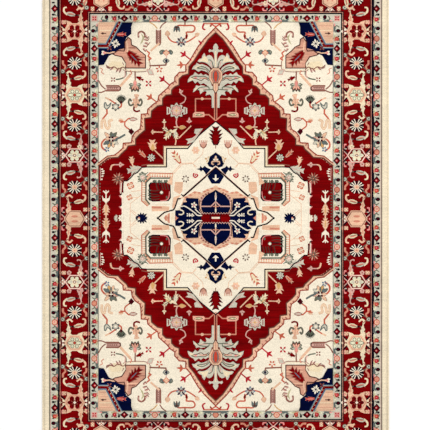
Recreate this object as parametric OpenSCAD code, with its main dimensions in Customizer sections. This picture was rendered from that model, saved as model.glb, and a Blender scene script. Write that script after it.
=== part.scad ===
// Hand-knotted wool area rug with a stepped lozenge and a central medallion.
// A cotton ground weave carries the wool pile, which is knotted in separate zones of dyed yarn.
// Overcast selvedges finish the long sides, and flat-woven ends with knotted tassels the short ones.
// The origin is the middle of the underside, +Z is up and +Y runs along the warps to the far end.

/* [Knotting] */
// Knot pitch, the same across the rug and along it, mm
knot = 2.19; // [1.8:0.01:2.6]
// Height of the wool pile above the ground weave, mm
pile_h = 7; // [4:0.5:12]
// Thickness of the cotton ground weave, mm
ground_t = 3; // [2:0.5:4]
// How much shorter the dark outline yarn has worn, mm
worn_h = 0.8; // [0.2:0.1:1.5]

/* [Edges] */
// Diameter of the overcast selvedge, mm
selvedge_d = 9; // [8:0.5:10]
// Diameter of the cotton cord inside the selvedge, mm
core_d = 4; // [3:0.5:5]
// Length of the flat-woven end past the pile, mm
kilim_l = 14; // [10:1:40]
// Thickness of the flat-woven end, mm
kilim_t = 2.6; // [2:0.1:3]
// Thickness of the twined lock row that holds the last knots, mm
twining_d = 3.2; // [2:0.1:4]

/* [Fringe] */
// Length of a tassel, mm
fringe_l = 60; // [30:5:120]
// Number of tassels at each end
tassels = 116; // [60:2:130]
// Radius of a tassel's knot, mm
tassel_knot_r = 2.5; // [2:0.1:3]

/* [Design widths in knots] */
// Width of the field inside all borders
field_w = 469; // [460:1:480]
// Length of the field inside all borders
field_l = 778; // [770:1:790]
// Fine line round the field
field_line = 2; // [1:0.5:3]
// Inner guard stripe
inner_guard = 14.5; // [12:0.5:18]
// Dark line inside the main border
inner_line = 4.5; // [3:0.5:6]
// Main border
main_border = 56.5; // [50:0.5:60]
// Dark line outside the main border
outer_line = 5.5; // [3:0.5:7]
// Outer guard stripe
outer_guard = 13.5; // [12:0.5:18]
// Fine line round the outer guard stripe
edge_line = 2.5; // [1:0.5:3]
// Plain outermost band
plain_band = 10.5; // [8:0.5:16]
// How far the medallion was knotted below the middle of the field
medallion_drift = 3; // [0:0.5:4]

/* [Hidden] */
$fn = 48;

// Dye colours
deep_red = "#8c0712";
ivory = "#efe3c8";
camel = "#e6d3b0";
celadon = "#c6cdbd";
navy = "#0d1440";
charcoal = "#24262f";
peach = "#e9b58e";
salmon = "#d1907a";
cotton = "#eee6d4";

// Half sizes of the field, in knots
hx = field_w / 2;
hy = field_l / 2;

// Distances of the stripe edges from the field edge, in knots
s1 = field_line;
s2 = s1 + inner_guard;
s3 = s2 + inner_line;
s4 = s3 + main_border;
s5 = s4 + outer_line;
s6 = s5 + outer_guard;
s7 = s6 + edge_line;
s8 = s7 + plain_band;

// Half sizes of the knotted area, in mm
pile_x = (hx + s8) * knot;
pile_y = (hy + s8) * knot;
chord = 3.2;
selvedge_r = selvedge_d / 2;
end_y = pile_y + kilim_l;

// Outline chains for one quarter, in knots from the middle: x to the right, y to the far end
lozenge_outer = [
    [0, 379], [22, 357], [35, 341], [47, 321], [52, 312], [60, 303], [60, 290], [73, 289], [82, 279], [82, 271],
    [91, 265], [97, 257], [105, 250], [114, 242], [116, 231], [125, 225], [136, 215],
    [137, 206], [149, 205], [150, 183], [152, 175], [161, 169], [167, 161], [169, 148],
    [185, 147], [186, 137], [195, 129], [203, 123], [217, 121], [231, 110], [hx, 107.5]
];
lozenge_inner = [
    [0, 368], [14, 355], [30, 332], [43, 312], [53, 300], [54, 285], [66, 282], [73, 275], [73, 263], [81, 260],
    [88, 253], [88, 244], [99, 243], [106, 236], [106, 223], [116, 221], [128, 211],
    [129, 198], [142, 196], [141, 173], [153, 163], [160, 155], [160, 143], [175, 141],
    [178, 135], [189, 125], [195, 118], [215, 117], [231, 104], [hx, 101.5]
];
medallion_edge = [
    [0, 195], [54, 145], [105, 145], [105, 108], [135, 108], [135, 103], [150, 102],
    [157, 94], [166, 88], [177, 76], [185, 74], [185, 0]
];
inner_edge = [
    [0, 101], [66, 43], [73, 39], [79, 30], [82, 17], [87, 14], [102, 10], [118, 0]
];
navy_edge = [
    [0, 57], [11, 49], [24, 42], [28, 34], [33, 34], [33, 41], [60, 41], [66, 32],
    [66, 26], [70, 18], [82, 16], [82, 0]
];
bar_edge = [[0, 8], [28, 8], [28, 0]];
square_edge = [[132, 89], [87, 89], [86, 28], [134, 26], [148, 36], [148, 74]];
navy_corner_edge = [
    [166, hy], [169, 380], [169, 366], [179, 358], [182, 350], [181, 338], [195, 334],
    [206, 326], [214, 322], [224, 304], [hx, 303]
];
peach_corner_edge = [[200, hy], [220, 348], [hx, 348]];
scroll_edge = [
    [182, 350], [175, 358], [169, 353], [168, 343], [163, 337], [155, 336], [145, 325],
    [140, 323], [140, 298], [180, 298], [180, 308], [188, 318], [199, 323], [211, 327],
    [206, 326], [195, 334], [181, 338]
];

function backwards(points) = [for (i = [len(points) - 1:-1:0]) points[i]];
function flipped(points, sx, sy) = [for (p = points) [p.x * sx, p.y * sy]];

// A closed outline from a quarter chain that runs from the far axis to the right-hand axis
function four_way(q) = concat(
    q,
    backwards([for (p = q) if (p.y > 0) [p.x, -p.y]]),
    [for (p = q) if (p.x > 0) [-p.x, -p.y]],
    backwards([for (p = q) if (p.x > 0 && p.y > 0) [-p.x, p.y]])
);

// A quarter of the rug: -1 or 1 for left or right, and for near or far
module in_quarter(sx, sy) {
    mirror([sx < 0 ? 1 : 0, 0, 0]) mirror([0, sy < 0 ? 1 : 0, 0]) children();
}

// Knots on the ground weave over an outline in knots, up to a height in mm
module knotted(height = pile_h) {
    translate([0, 0, ground_t]) scale(knot) linear_extrude(height / knot) children();
}

module in_medallion() {
    translate([0, -medallion_drift]) children();
}

// One mitred side of a stripe between two distances from the field edge
module stripe_side(side, a, b) {
    along_x = side == "far" || side == "near";
    sign = side == "far" || side == "right" ? 1 : -1;
    long_in = (along_x ? hx : hy) + a;
    long_out = (along_x ? hx : hy) + b;
    off_in = ((along_x ? hy : hx) + a) * sign;
    off_out = ((along_x ? hy : hx) + b) * sign;
    corners = [[-long_in, off_in], [long_in, off_in], [long_out, off_out], [-long_out, off_out]];
    polygon([for (c = corners) along_x ? c : [c.y, c.x]]);
}

module stripe(a, b, side, yarn) {
    color(yarn) knotted() stripe_side(side, a, b);
}

module line_round(a, b, yarn) {
    color(yarn) for (side = ["far", "near", "left", "right"]) knotted(pile_h - worn_h) stripe_side(side, a, b);
}

module ground_weave() {
    color(cotton) translate([-pile_x, -pile_y, 0]) cube([2 * pile_x, 2 * pile_y, ground_t]);
}

module along_y(length, radius) {
    rotate([90, 0, 0]) cylinder(h = length, r = radius, center = true);
}

module selvedge_core(sign) {
    color(cotton) translate([sign * (pile_x + chord), 0, selvedge_r]) along_y(2 * end_y, core_d / 2);
}

// Wool overcast on the cord, flat where it grips the edge of the ground weave
module selvedge_wrap(sign) {
    color(camel) difference() {
        translate([sign * (pile_x + chord), 0, selvedge_r]) along_y(2 * end_y, selvedge_r);
        translate([sign * (pile_x + chord), 0, selvedge_r]) along_y(2 * end_y + 2, core_d / 2);
        translate([sign * (pile_x - selvedge_d), 0, selvedge_r])
            cube([2 * selvedge_d, 2 * end_y + 2, 2 * selvedge_d], center = true);
    }
}

module kilim_end(sign) {
    color(cotton) translate([-pile_x, sign > 0 ? pile_y : -end_y, 0]) cube([2 * pile_x, kilim_l, kilim_t]);
}

// Twined row that lies on the flat-woven end against the last row of knots
module twining(sign) {
    half = twining_d / 2;
    color(camel) difference() {
        translate([0, sign * (pile_y + half), kilim_t + half * 0.8])
            rotate([0, 90, 0]) cylinder(h = 2 * pile_x, r = half, center = true);
        translate([-pile_x - 1, sign * (pile_y + half) - half - 1, kilim_t - 2])
            cube([2 * pile_x + 2, twining_d + 2, 2]);
    }
}

// A bundle of warp ends, knotted close to the flat-woven end, that lies on the floor
module tassel(swing) {
    r = tassel_knot_r;
    neck = 0.5 * r;
    translate([0, 0, r]) rotate([0, 0, swing]) rotate([-90, 0, 0]) rotate_extrude()
        polygon([
            [0, 0], [neck, 0], [neck, 0.3 * r], [0.85 * r, 0.7 * r], [r, 1.3 * r],
            [0.85 * r, 1.9 * r], [0.65 * r, 2.3 * r], [r, fringe_l], [0, fringe_l]
        ]);
}

module fringe(sign) {
    pitch = 2 * (pile_x - 2 * tassel_knot_r) / (tassels - 1);
    color(cotton) for (i = [0:tassels - 1])
        translate([(i - (tassels - 1) / 2) * pitch, sign * end_y, 0])
            mirror([0, sign < 0 ? 1 : 0, 0]) tassel(2 * sin(i * 137 + 40 * sign));
}

module navy_corner_shape() {
    difference() {
        polygon(concat(navy_corner_edge, [[hx, hy]]));
        peach_corner_shape();
    }
}

module peach_corner_shape() {
    polygon(concat(peach_corner_edge, [[hx, hy]]));
}

module ivory_field(sx, sy) {
    color(ivory) in_quarter(sx, sy) knotted() difference() {
        polygon(concat(lozenge_outer, backwards(navy_corner_edge), [[0, hy]]));
        polygon(scroll_edge);
    }
}

module navy_corner(sx, sy) {
    color(navy) in_quarter(sx, sy) knotted() navy_corner_shape();
}

module peach_corners() {
    color(peach) for (sx = [-1, 1], sy = [-1, 1]) in_quarter(sx, sy) knotted() peach_corner_shape();
}

module corner_scrolls() {
    color(salmon) for (sx = [-1, 1], sy = [-1, 1]) in_quarter(sx, sy) knotted() polygon(scroll_edge);
}

module lozenge_outline(sx, sy) {
    color(peach) in_quarter(sx, sy) knotted() polygon(concat(lozenge_outer, backwards(lozenge_inner)));
}

module red_lozenge() {
    color(deep_red) knotted() difference() {
        polygon(four_way(concat(lozenge_inner, [[hx, 0]])));
        in_medallion() polygon(four_way(medallion_edge));
    }
}

module medallion_ground() {
    color(ivory) knotted() in_medallion() difference() {
        polygon(four_way(medallion_edge));
        polygon(four_way(inner_edge));
        for (sx = [-1, 1], sy = [-1, 1]) polygon(flipped(square_edge, sx, sy));
    }
}

module inner_medallion() {
    color(peach) knotted() in_medallion() difference() {
        polygon(four_way(inner_edge));
        polygon(four_way(navy_edge));
    }
}

module navy_centre() {
    color(navy) knotted() in_medallion() difference() {
        polygon(four_way(navy_edge));
        polygon(four_way(bar_edge));
    }
}

module centre_bar() {
    color(deep_red) knotted() in_medallion() polygon(four_way(bar_edge));
}

module square_palmette(sx, sy) {
    color(deep_red) knotted() in_medallion() polygon(flipped(square_edge, sx, sy));
}

ground_weave();
selvedge_core(-1);  // selvedge_core_left
selvedge_core(1);  // selvedge_core_right
selvedge_wrap(-1);  // selvedge_wrap_left
selvedge_wrap(1);  // selvedge_wrap_right
kilim_end(1);  // kilim_end_far
kilim_end(-1);  // kilim_end_near
twining(1);  // twining_far
twining(-1);  // twining_near
fringe(1);  // fringe_far
fringe(-1);  // fringe_near
stripe(s7, s8, "far", camel);  // plain_band_far
stripe(s7, s8, "near", camel);  // plain_band_near
stripe(s7, s8, "left", camel);  // plain_band_left
stripe(s7, s8, "right", camel);  // plain_band_right
stripe(s5, s6, "far", celadon);  // outer_guard_far
stripe(s5, s6, "near", celadon);  // outer_guard_near
stripe(s5, s6, "left", celadon);  // outer_guard_left
stripe(s5, s6, "right", celadon);  // outer_guard_right
stripe(s3, s4, "far", deep_red);  // main_border_far
stripe(s3, s4, "near", deep_red);  // main_border_near
stripe(s3, s4, "left", deep_red);  // main_border_left
stripe(s3, s4, "right", deep_red);  // main_border_right
stripe(s1, s2, "far", celadon);  // inner_guard_far
stripe(s1, s2, "near", celadon);  // inner_guard_near
stripe(s1, s2, "left", celadon);  // inner_guard_left
stripe(s1, s2, "right", celadon);  // inner_guard_right
line_round(s6, s7, charcoal);  // edge_line
line_round(s4, s5, charcoal);  // border_outer_line
line_round(s2, s3, charcoal);  // border_inner_line
line_round(0, s1, charcoal);  // field_line
ivory_field(-1, 1);  // ivory_field_far_left
ivory_field(1, 1);  // ivory_field_far_right
ivory_field(-1, -1);  // ivory_field_near_left
ivory_field(1, -1);  // ivory_field_near_right
navy_corner(-1, 1);  // navy_corner_far_left
navy_corner(1, 1);  // navy_corner_far_right
navy_corner(-1, -1);  // navy_corner_near_left
navy_corner(1, -1);  // navy_corner_near_right
peach_corners();
corner_scrolls();
lozenge_outline(-1, 1);  // lozenge_outline_far_left
lozenge_outline(1, 1);  // lozenge_outline_far_right
lozenge_outline(-1, -1);  // lozenge_outline_near_left
lozenge_outline(1, -1);  // lozenge_outline_near_right
red_lozenge();
medallion_ground();
inner_medallion();
navy_centre();
centre_bar();
square_palmette(-1, 1);  // square_palmette_far_left
square_palmette(1, 1);  // square_palmette_far_right
square_palmette(-1, -1);  // square_palmette_near_left
square_palmette(1, -1);  // square_palmette_near_right
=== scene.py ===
import math
import random

import bpy
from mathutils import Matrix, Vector, noise
from mathutils.geometry import delaunay_2d_cdt


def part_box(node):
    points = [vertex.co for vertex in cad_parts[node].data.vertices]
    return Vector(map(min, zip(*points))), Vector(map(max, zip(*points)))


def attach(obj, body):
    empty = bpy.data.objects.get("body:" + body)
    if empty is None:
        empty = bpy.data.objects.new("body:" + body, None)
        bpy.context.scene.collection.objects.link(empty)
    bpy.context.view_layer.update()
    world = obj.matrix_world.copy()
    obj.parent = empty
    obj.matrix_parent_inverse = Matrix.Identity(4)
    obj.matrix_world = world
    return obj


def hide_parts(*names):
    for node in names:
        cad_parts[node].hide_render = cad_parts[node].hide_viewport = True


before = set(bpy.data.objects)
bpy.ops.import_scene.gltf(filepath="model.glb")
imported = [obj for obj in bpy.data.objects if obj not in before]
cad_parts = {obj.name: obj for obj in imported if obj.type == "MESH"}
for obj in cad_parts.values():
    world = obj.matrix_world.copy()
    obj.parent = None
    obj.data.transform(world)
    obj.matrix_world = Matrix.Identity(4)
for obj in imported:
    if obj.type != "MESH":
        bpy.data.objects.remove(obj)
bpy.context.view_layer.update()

# ---------------------------------------------------------------- sizes, from the frame
FIELD_HALF_W = 234.5                                   # knots from the middle to the field's side
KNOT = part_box("red_lozenge")[1].x / FIELD_HALF_W       # one knot, in metres
PILE_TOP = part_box("red_lozenge")[1].z
GROUND_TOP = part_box("ground_weave")[1].z
PILE_HALF_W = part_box("ground_weave")[1].x
PILE_HALF_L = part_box("ground_weave")[1].y
MEDALLION_DRIFT = 3                                    # knots that the medallion lies below the middle
WORN = 0.0008                                          # how much lower the dark yarn has worn
BACK_SHAPE = 30                                        # smallest shape on the back, in square knots
LINE_WEIGHT = 1.18                                     # how much wider lines come out than they are drawn
WRAP_PITCH = 0.004                                     # one turn of the overcast edge
WRAP_RIB = 0.17                                        # depth of its ribs, as a share of its radius
FLAT_RIB = 2 * KNOT                                    # one pair of warps in the flat-woven ends
FLAT_ROW = 0.002                                       # two wefts
TWIST_PITCH = 0.008                                    # one turn of the twined cord
TASSELS = 116                                          # bundles of warp ends at each end
STRANDS = 7                                            # yarns in a bundle
STRAND_RINGS = 14
PILE_STEP = 14                                         # spacing of the pile's free points, in knots
BACK_STEP = 20                                         # the same on the back
TOP_STEP = 0.06                                        # the same on the ground's hidden top
LIE = (0.0009, 0.0004)                                 # broad and small waves of the pile's surface
YARN_OVERLAP = Vector((0, 0.0002, 0))                  # how far a turn of yarn ends past its start
SAG = 0.0003                                           # mean rise of the back off the floor
PILE_NODES = [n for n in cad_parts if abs(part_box(n)[0].z - GROUND_TOP) < 1e-5]

# ---------------------------------------------------------------- dyes, sRGB 0-255
DYES = {
    "red": (116, 2, 4), "ivory": (240, 228, 205), "camel": (236, 220, 190),
    "celadon": (201, 194, 175), "navy": (2, 8, 44), "black": (18, 10, 20),
    "peach": (226, 182, 150), "salmon": (203, 132, 108), "maroon": (64, 4, 14),
    "sage": (98, 102, 86), "orange": (192, 68, 50), "pink": (228, 140, 134),
    "blue": (84, 112, 136), "brown": (136, 84, 70), "mauve": (208, 162, 148),
    "cream": (234, 214, 178), "madder": (150, 60, 44), "umber": (84, 48, 40),
    "clay": (206, 150, 126), "mint": (222, 218, 186), "slate": (96, 104, 100),
    "rose": (176, 30, 44), "olive": (186, 176, 136), "shell": (226, 166, 142),
    "rust": (194, 96, 72), "ochre": (206, 160, 104),
}
ZONE_DYES = (
    ("plain_band", "camel"), ("edge_line", "sage"), ("outer_guard", "celadon"),
    ("inner_guard", "celadon"), ("main_border", "red"), ("border_", "black"),
    ("field_line", "sage"), ("ivory_field", "ivory"), ("navy_", "navy"),
    ("peach_corners", "peach"), ("corner_scrolls", "clay"), ("lozenge_outline", "shell"),
    ("red_lozenge", "red"), ("medallion_ground", "ivory"), ("inner_medallion", "peach"),
    ("centre_bar", "red"), ("square_palmette", "ivory"),
)


# ---------------------------------------------------------------- drawing in knots
SHAPES = []          # (dye, outline) in knots from the rug's middle, each painted over the last


def place(x=0, y=0, turn=0, size=1, flip=1):
    """Moves a motif's own points to where the motif lies."""
    c = size * math.cos(math.radians(turn))
    s = size * math.sin(math.radians(turn))

    def at(p):
        return (x + c * flip * p[0] - s * p[1], y + s * flip * p[0] + c * p[1])
    return at


def mirrors(at=lambda p: p, both=True):
    """The two or four mirrored copies of a place."""
    for sx in (1, -1) if both else (1,):
        for sy in (1, -1):
            yield lambda p, sx=sx, sy=sy: at((sx * p[0], sy * p[1]))


def fill(at, dye, points):
    SHAPES.append((dye, [at(p) for p in points]))


def smooth(points, steps=4):
    """A Catmull-Rom curve through the points."""
    out = []
    for i in range(len(points) - 1):
        p0, p1 = points[max(i - 1, 0)], points[i]
        p2, p3 = points[i + 1], points[min(i + 2, len(points) - 1)]
        for k in range(steps):
            t = k / steps
            out.append(tuple(
                0.5 * (2 * b + (c - a) * t + (2 * a - 5 * b + 4 * c - d) * t * t
                       + (3 * b - a - 3 * c + d) * t ** 3)
                for a, b, c, d in zip(p0, p1, p2, p3)))
    return out + [tuple(points[-1])]


def line(at, dye, points, width=1.6, end=None):
    """Yarn along a polyline, one quad a stretch, that may taper to its end width."""
    end = LINE_WEIGHT * (width if end is None else end)
    width = LINE_WEIGHT * width
    n = len(points) - 1
    for i, (a, b) in enumerate(zip(points, points[1:])):
        d = math.hypot(b[0] - a[0], b[1] - a[1]) or 1
        ux, uy = (b[0] - a[0]) / d, (b[1] - a[1]) / d
        w0 = (width + (end - width) * i / n) / 2
        w1 = (width + (end - width) * (i + 1) / n) / 2
        a = (a[0] - ux * w0 * 0.6, a[1] - uy * w0 * 0.6)
        b = (b[0] + ux * w1 * 0.6, b[1] + uy * w1 * 0.6)
        fill(at, dye, [(a[0] - uy * w0, a[1] + ux * w0), (a[0] + uy * w0, a[1] - ux * w0),
                       (b[0] + uy * w1, b[1] - ux * w1), (b[0] - uy * w1, b[1] + ux * w1)])


def curve(at, dye, points, width=1.6, end=None, steps=4):
    line(at, dye, smooth(points, steps), width, end)


def oval(at, dye, x, y, rx, ry=None, sides=8):
    ry = rx if ry is None else ry
    turn = math.pi / sides
    fill(at, dye, [(x + rx * math.cos(turn + i * 2 * turn), y + ry * math.sin(turn + i * 2 * turn))
                   for i in range(sides)])


def diamond(at, dye, x, y, rx, ry=None):
    ry = rx if ry is None else ry
    fill(at, dye, [(x + rx, y), (x, y + ry), (x - rx, y), (x, y - ry)])


def leaf(at, dye, a, b, width, belly=0.45):
    """A pointed leaf from a to b."""
    dx, dy = b[0] - a[0], b[1] - a[1]
    d = math.hypot(dx, dy) or 1
    nx, ny = -dy / d * width / 2, dx / d * width / 2

    def along(t, side):
        return (a[0] + dx * t + nx * side, a[1] + dy * t + ny * side)
    fill(at, dye, [a, along(belly * 0.5, -0.8), along(belly, -1), along(0.8, -0.55), b,
                   along(0.8, 0.55), along(belly, 1), along(belly * 0.5, 0.8)])


def petals(at, dye, x, y, count, r, width, start=0, inner=0.15, squash=1):
    """Kite-shaped petals round a point."""
    for i in range(count):
        a = math.radians(start + i * 360 / count)
        c, s = math.cos(a), math.sin(a)
        pts = [(inner * r, 0), (0.6 * r, -width / 2), (0.9 * r, -width / 4), (r, 0),
               (0.9 * r, width / 4), (0.6 * r, width / 2)]
        fill(at, dye, [(x + c * p - s * q, y + (s * p + c * q) * squash) for p, q in pts])


def comb(at, dye, a, b, width, teeth, lean=0.5):
    """A serrated leaf: teeth that grow to the middle and lean towards its tip b."""
    dx, dy = b[0] - a[0], b[1] - a[1]
    d = math.hypot(dx, dy)
    ux, uy = dx / d, dy / d
    sides = ([], [])
    for i in range(teeth):
        t = (i + 0.5) / teeth
        w = width / 2 * math.sin(math.pi * (0.15 + 0.75 * t))
        step = d / teeth
        for k, sign in enumerate((-1, 1)):
            for s, q in ((t * d - step * 0.5, 0.45 * w), (t * d + step * lean, w)):
                sides[k].append((a[0] + ux * s - uy * q * sign, a[1] + uy * s + ux * q * sign))
    fill(at, dye, [a] + sides[0] + [b] + sides[1][::-1])


# ---------------------------------------------------------------- main border
def starburst(at):
    """Twelve black and twelve ivory bars opening round a peach eye."""
    for quarter in range(4):
        def spoke(lean, r, quarter=quarter):
            a = math.radians(quarter * 90 + lean)
            return r * math.cos(a), 0.9 * r * math.sin(a)
        for lean in (31, 59):
            line(at, "black", [spoke(lean, 5), spoke(lean + (45 - lean) * 0.1, 13.5)], 2.4, 4)
        line(at, "black", [spoke(0, 6), spoke(0, 12.5)], 1.6, 4)
        line(at, "ivory", [spoke(45, 5), spoke(45, 13.5)], 1.3, 2)
        for lean in (-21, 21):
            line(at, "ivory", [spoke(lean * 0.8, 5), spoke(lean, 14)], 1.2, 1.7)
    oval(at, "peach", 0, 0, 5.4, 4.6)
    oval(at, "salmon", 0, 0, 2, 1.6, 6)


def outline_six(rx, ry, point):
    return [(rx, 0), (point, ry), (-point, ry), (-rx, 0), (-point, -ry), (point, -ry)]


def closed(points):
    return points + points[:1]


def two_sided(half, last=None):
    """An outline from its half and its mirror image; last is -2 where the half ends on the axis."""
    return half + [(-x, y) for x, y in half[last:0:-1]]


def six_lobes(at, dye, tip, width, side, size):
    """A flower with two pointed petals along x and four round ones beside its eye."""
    petals(at, dye, 0, 0, 2, tip, width)
    for sx in (1, -1):
        for sy in (1, -1):
            oval(at, dye, sx * side[0], sy * side[1], size, size * 1.05)


def border_palmette(at, style):
    body = [(20, 0), (18, 6), (15, 14), (17, 22), (8, 19), (5, 16), (-5, 16), (-8, 19),
            (-17, 22), (-15, 14), (-19, 6), (-20, 0)]
    whole = body + [(x, -y) for x, y in body[-2:0:-1]]
    if style == "red rosette":
        fill(at, "peach", whole)
        line(at, "salmon", closed(outline_six(17.5, 13.5, 9)), 1.4)
        six_lobes(at, "red", 15, 9.6, (5.6, 7.6), 5)
        for x, y in ((13, 0), (5.6, 10), (-5.6, 10)):
            line(at, "maroon", [(-x, -y), (x, y)], 1.3)
        oval(at, "red", 0, 0, 6, 4.6)
        diamond(at, "ivory", 0, 0, 3.4, 3)
    elif style == "green rosette":
        fill(at, "cream", whole)
        line(at, "peach", closed(outline_six(18, 13.5, 9)), 2.6)
        line(at, "salmon", closed(outline_six(16, 12, 8)), 1.1)
        six_lobes(at, "sage", 15, 8.6, (4.5, 6.8), 3.9)
        six_lobes(at, "mint", 13.6, 5.6, (4.5, 6.8), 2.7)
        oval(at, "sage", 0, 0, 3.6, 3.6)
        oval(at, "orange", 0, 0, 2.5, 2.7, 6)
    elif style == "red hexagon":
        for x, y, dye in ((-11, 18.5, "mauve"), (10, 17, "cream"), (-11, -18, "mauve"), (9, -17, "mauve")):
            petals(at, dye, x, y, 5, 5, 5, 90)
        fill(at, "maroon", [(-6, -13), (6, -13), (4, -17), (-4, -17)])
        fill(at, "pink", outline_six(20, 14.5, 10.6))
        fill(at, "ivory", outline_six(18.6, 13.2, 10))
        fill(at, "red", outline_six(17.2, 12, 9.2))
        six_lobes(at, "mint", 14.4, 8.4, (4.6, 6.6), 4)
        oval(at, "cream", 0, 0, 6, 7)
        petals(at, "celadon", 0, 0, 2, 11, 4)
        oval(at, "brown", 0, 0, 3.2, 3.4)
        oval(at, "ivory", 0, 0, 1.7, 1.8, 6)
    else:
        fill(at, "peach", outline_six(21.5, 16.5, 11.5))
        fill(at, "brown", outline_six(20, 15, 11))
        fill(at, "peach", outline_six(18, 13.5, 10))
        oval(at, "salmon", 0, 5, 7, 2.5)
        oval(at, "salmon", 0, -5, 7, 2.5)
        for sy in (1, -1):
            petals(at, "peach", 12, sy * 18, 4, 5, 4)


VINE_DYE = {"red rosette": "peach", "green rosette": "cream", "red hexagon": "mauve",
            "peach hexagon": "peach"}


def border_vine(at, style):
    """The knobbly stem from a palmette to the ring in the border's edge line."""
    dye = VINE_DYE[style]
    stem = [(9.6, 12), (16.6, 12), (18, 18.4), (14.8, 21), (14.4, 23.4), (16.8, 26.6), (14.8, 30.6),
            (13.8, 35), (14.4, 41), (12.2, 41), (11.6, 35.6), (9, 31), (9.8, 27.6), (7.2, 25.4),
            (7.4, 21.4), (10, 18)]
    fill(at, "maroon", [(x + (0.9 if x > 13 else -0.9), y) for x, y in stem])
    fill(at, dye, stem)
    line(at, "salmon" if dye != "cream" else "celadon", [(12, 18), (12.4, 30)], 1.5)
    if dye == "mauve":
        curve(at, dye, [(13.5, 40), (11, 43.5), (6, 44.5), (5.5, 42.5)], 2.2, 1.6)
    else:
        curve(at, dye, [(14, 40), (14.6, 44), (10, 47), (5, 43)], 3.4, 2.8)
    line(at, "brown", [(13.6, 41), (21, 46)], 1.5)
    oval(at, "sage", 24, 47.5, 5, 4.6)
    oval(at, "celadon", 24, 47.5, 3.6, 3.2)
    oval(at, "slate", 24, 47.5, 2, 1.8, 6)
    line(at, "sage", [(20.5, 50.5), (12.5, 56)], 1.6)
    curve(at, "salmon", [(20.5, 52), (18.5, 57), (23, 62), (23.5, 68)], 2.4, 3.6)


def horned_leaf(at, dye):
    curve(at, "peach" if dye == "cream" else "cream", [(-16.5, 48), (-21, 46.5), (-21, 39.5),
                                                       (-15, 34)], 2.4, 3.4)
    leaf(at, "umber", (-18.6, 37.3), (4.6, 31.6), 9.2, 0.5)
    leaf(at, dye, (-18, 37), (4, 31.8), 8.6, 0.5)
    leaf(at, "salmon", (-15, 37), (1, 33), 3.2, 0.5)
    line(at, "sage", [(-14, 34.6), (1, 31.6)], 1)
    line(at, "black", [(2, 32.4), (7, 32.6)], 2.6, 1.6)
    line(at, "sage", [(7, 32.6), (11, 33)], 1.6, 1)


def edge_flowers(at, style):
    """What stands beside a palmette, against the border's edge lines."""
    pale = style in ("green rosette", "red rosette")
    for x, dye in ((-26.5, "salmon"), (-21, "peach")):
        petals(at, dye, x, 18.5, 4, 4.6, 4.6, 45)
        oval(at, "peach" if pale else "cream", x, 18.5, 1.6, 1.4, 6)
    for sx in (1, -1):
        line(at, "black", [(sx * 18, 4), (sx * 25.5, 12)], 2, 2.4)
        line(at, "mauve" if not pale else "peach", [(sx * 18.5, 1.5), (sx * 28, 10.5)], 1.5)
    if pale:
        petals(at, "peach", 24, 17, 5, 5.5, 5, 90)
        oval(at, "pink", 25, 16, 2.2, 2.2, 6)
        curve(at, "pink", [(-23, 14), (-26, 18), (-24, 22)], 1)
    else:
        curve(at, "pink", [(21.5, 22), (25, 21), (26.5, 15.5)], 2.4, 3)
        leaf(at, "black", (20, 14), (22.5, 19), 4)
        line(at, "celadon", [(20.5, 13), (24, 13.5)], 1.4)


def border_unit(at, style):
    """A palmette with its vine, horned leaves and edge flowers; the vine runs on the +x side."""
    for up in mirrors(at, both=False):
        horned_leaf(up, "cream" if style in ("green rosette", "peach hexagon") else "celadon")
        edge_flowers(up, style)
        border_vine(up, style)
    if style in ("green rosette", "red rosette"):
        petals(at, "cream", -24, 0, 3, 6.5, 6, 180)
        petals(at, "ivory", 25, 0, 3, 6.5, 6)
    else:
        petals(at, "ivory", -24, 0, 4, 5.4, 4.6)
        oval(at, "salmon", -24, 0, 1.6, 1.6, 6)
        oval(at, "pink", 26.5, 0, 2.4, 2.4, 6)
    border_palmette(at, style)


def side_border(sx):
    """Palmettes and starbursts down one long side, with the vine now inside, now outside."""
    axis = sx * 282.5
    styles = ("red rosette", "green rosette", "red hexagon", "peach hexagon",
              "red hexagon", "green rosette", "red rosette")
    middles = (371, 243.5, 122.5, -4.5, -131, -253, -372.5)
    for i, (style, y) in enumerate(zip(styles, middles)):
        inner = -1 if i % 2 == 0 else 1
        border_unit(place(axis, y, flip=sx * inner), style)
        if i:
            starburst(place(axis, (y + middles[i - 1]) / 2))


def end_border(sy):
    """The same border along an end, with a starburst in each corner."""
    axis = sy * 437
    border_run = ((0, "peach hexagon", 1), (115.5, "red hexagon", -1), (229, "peach hexagon", 1))
    for sx in (1, -1):
        for x, style, inner in border_run:
            if x or sx > 0:
                border_unit(place(sx * x, axis, turn=90 * sy, flip=inner, size=0.95), style)
        for x in (58, 173, 282.5):
            starburst(place(sx * x, axis, turn=90))


# ---------------------------------------------------------------- guard stripes
def guard_diamond(at):
    diamond(at, "black", 0, 0, 7.4, 8.8)
    diamond(at, "maroon", 0, 0, 6.6, 7.2)
    diamond(at, "red", 0, 0, 4.6, 5)
    oval(at, "pink", 1, 0, 2, 1.7, 6)
    diamond(at, "sage", 0, -8, 1.8, 1.6)


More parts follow.
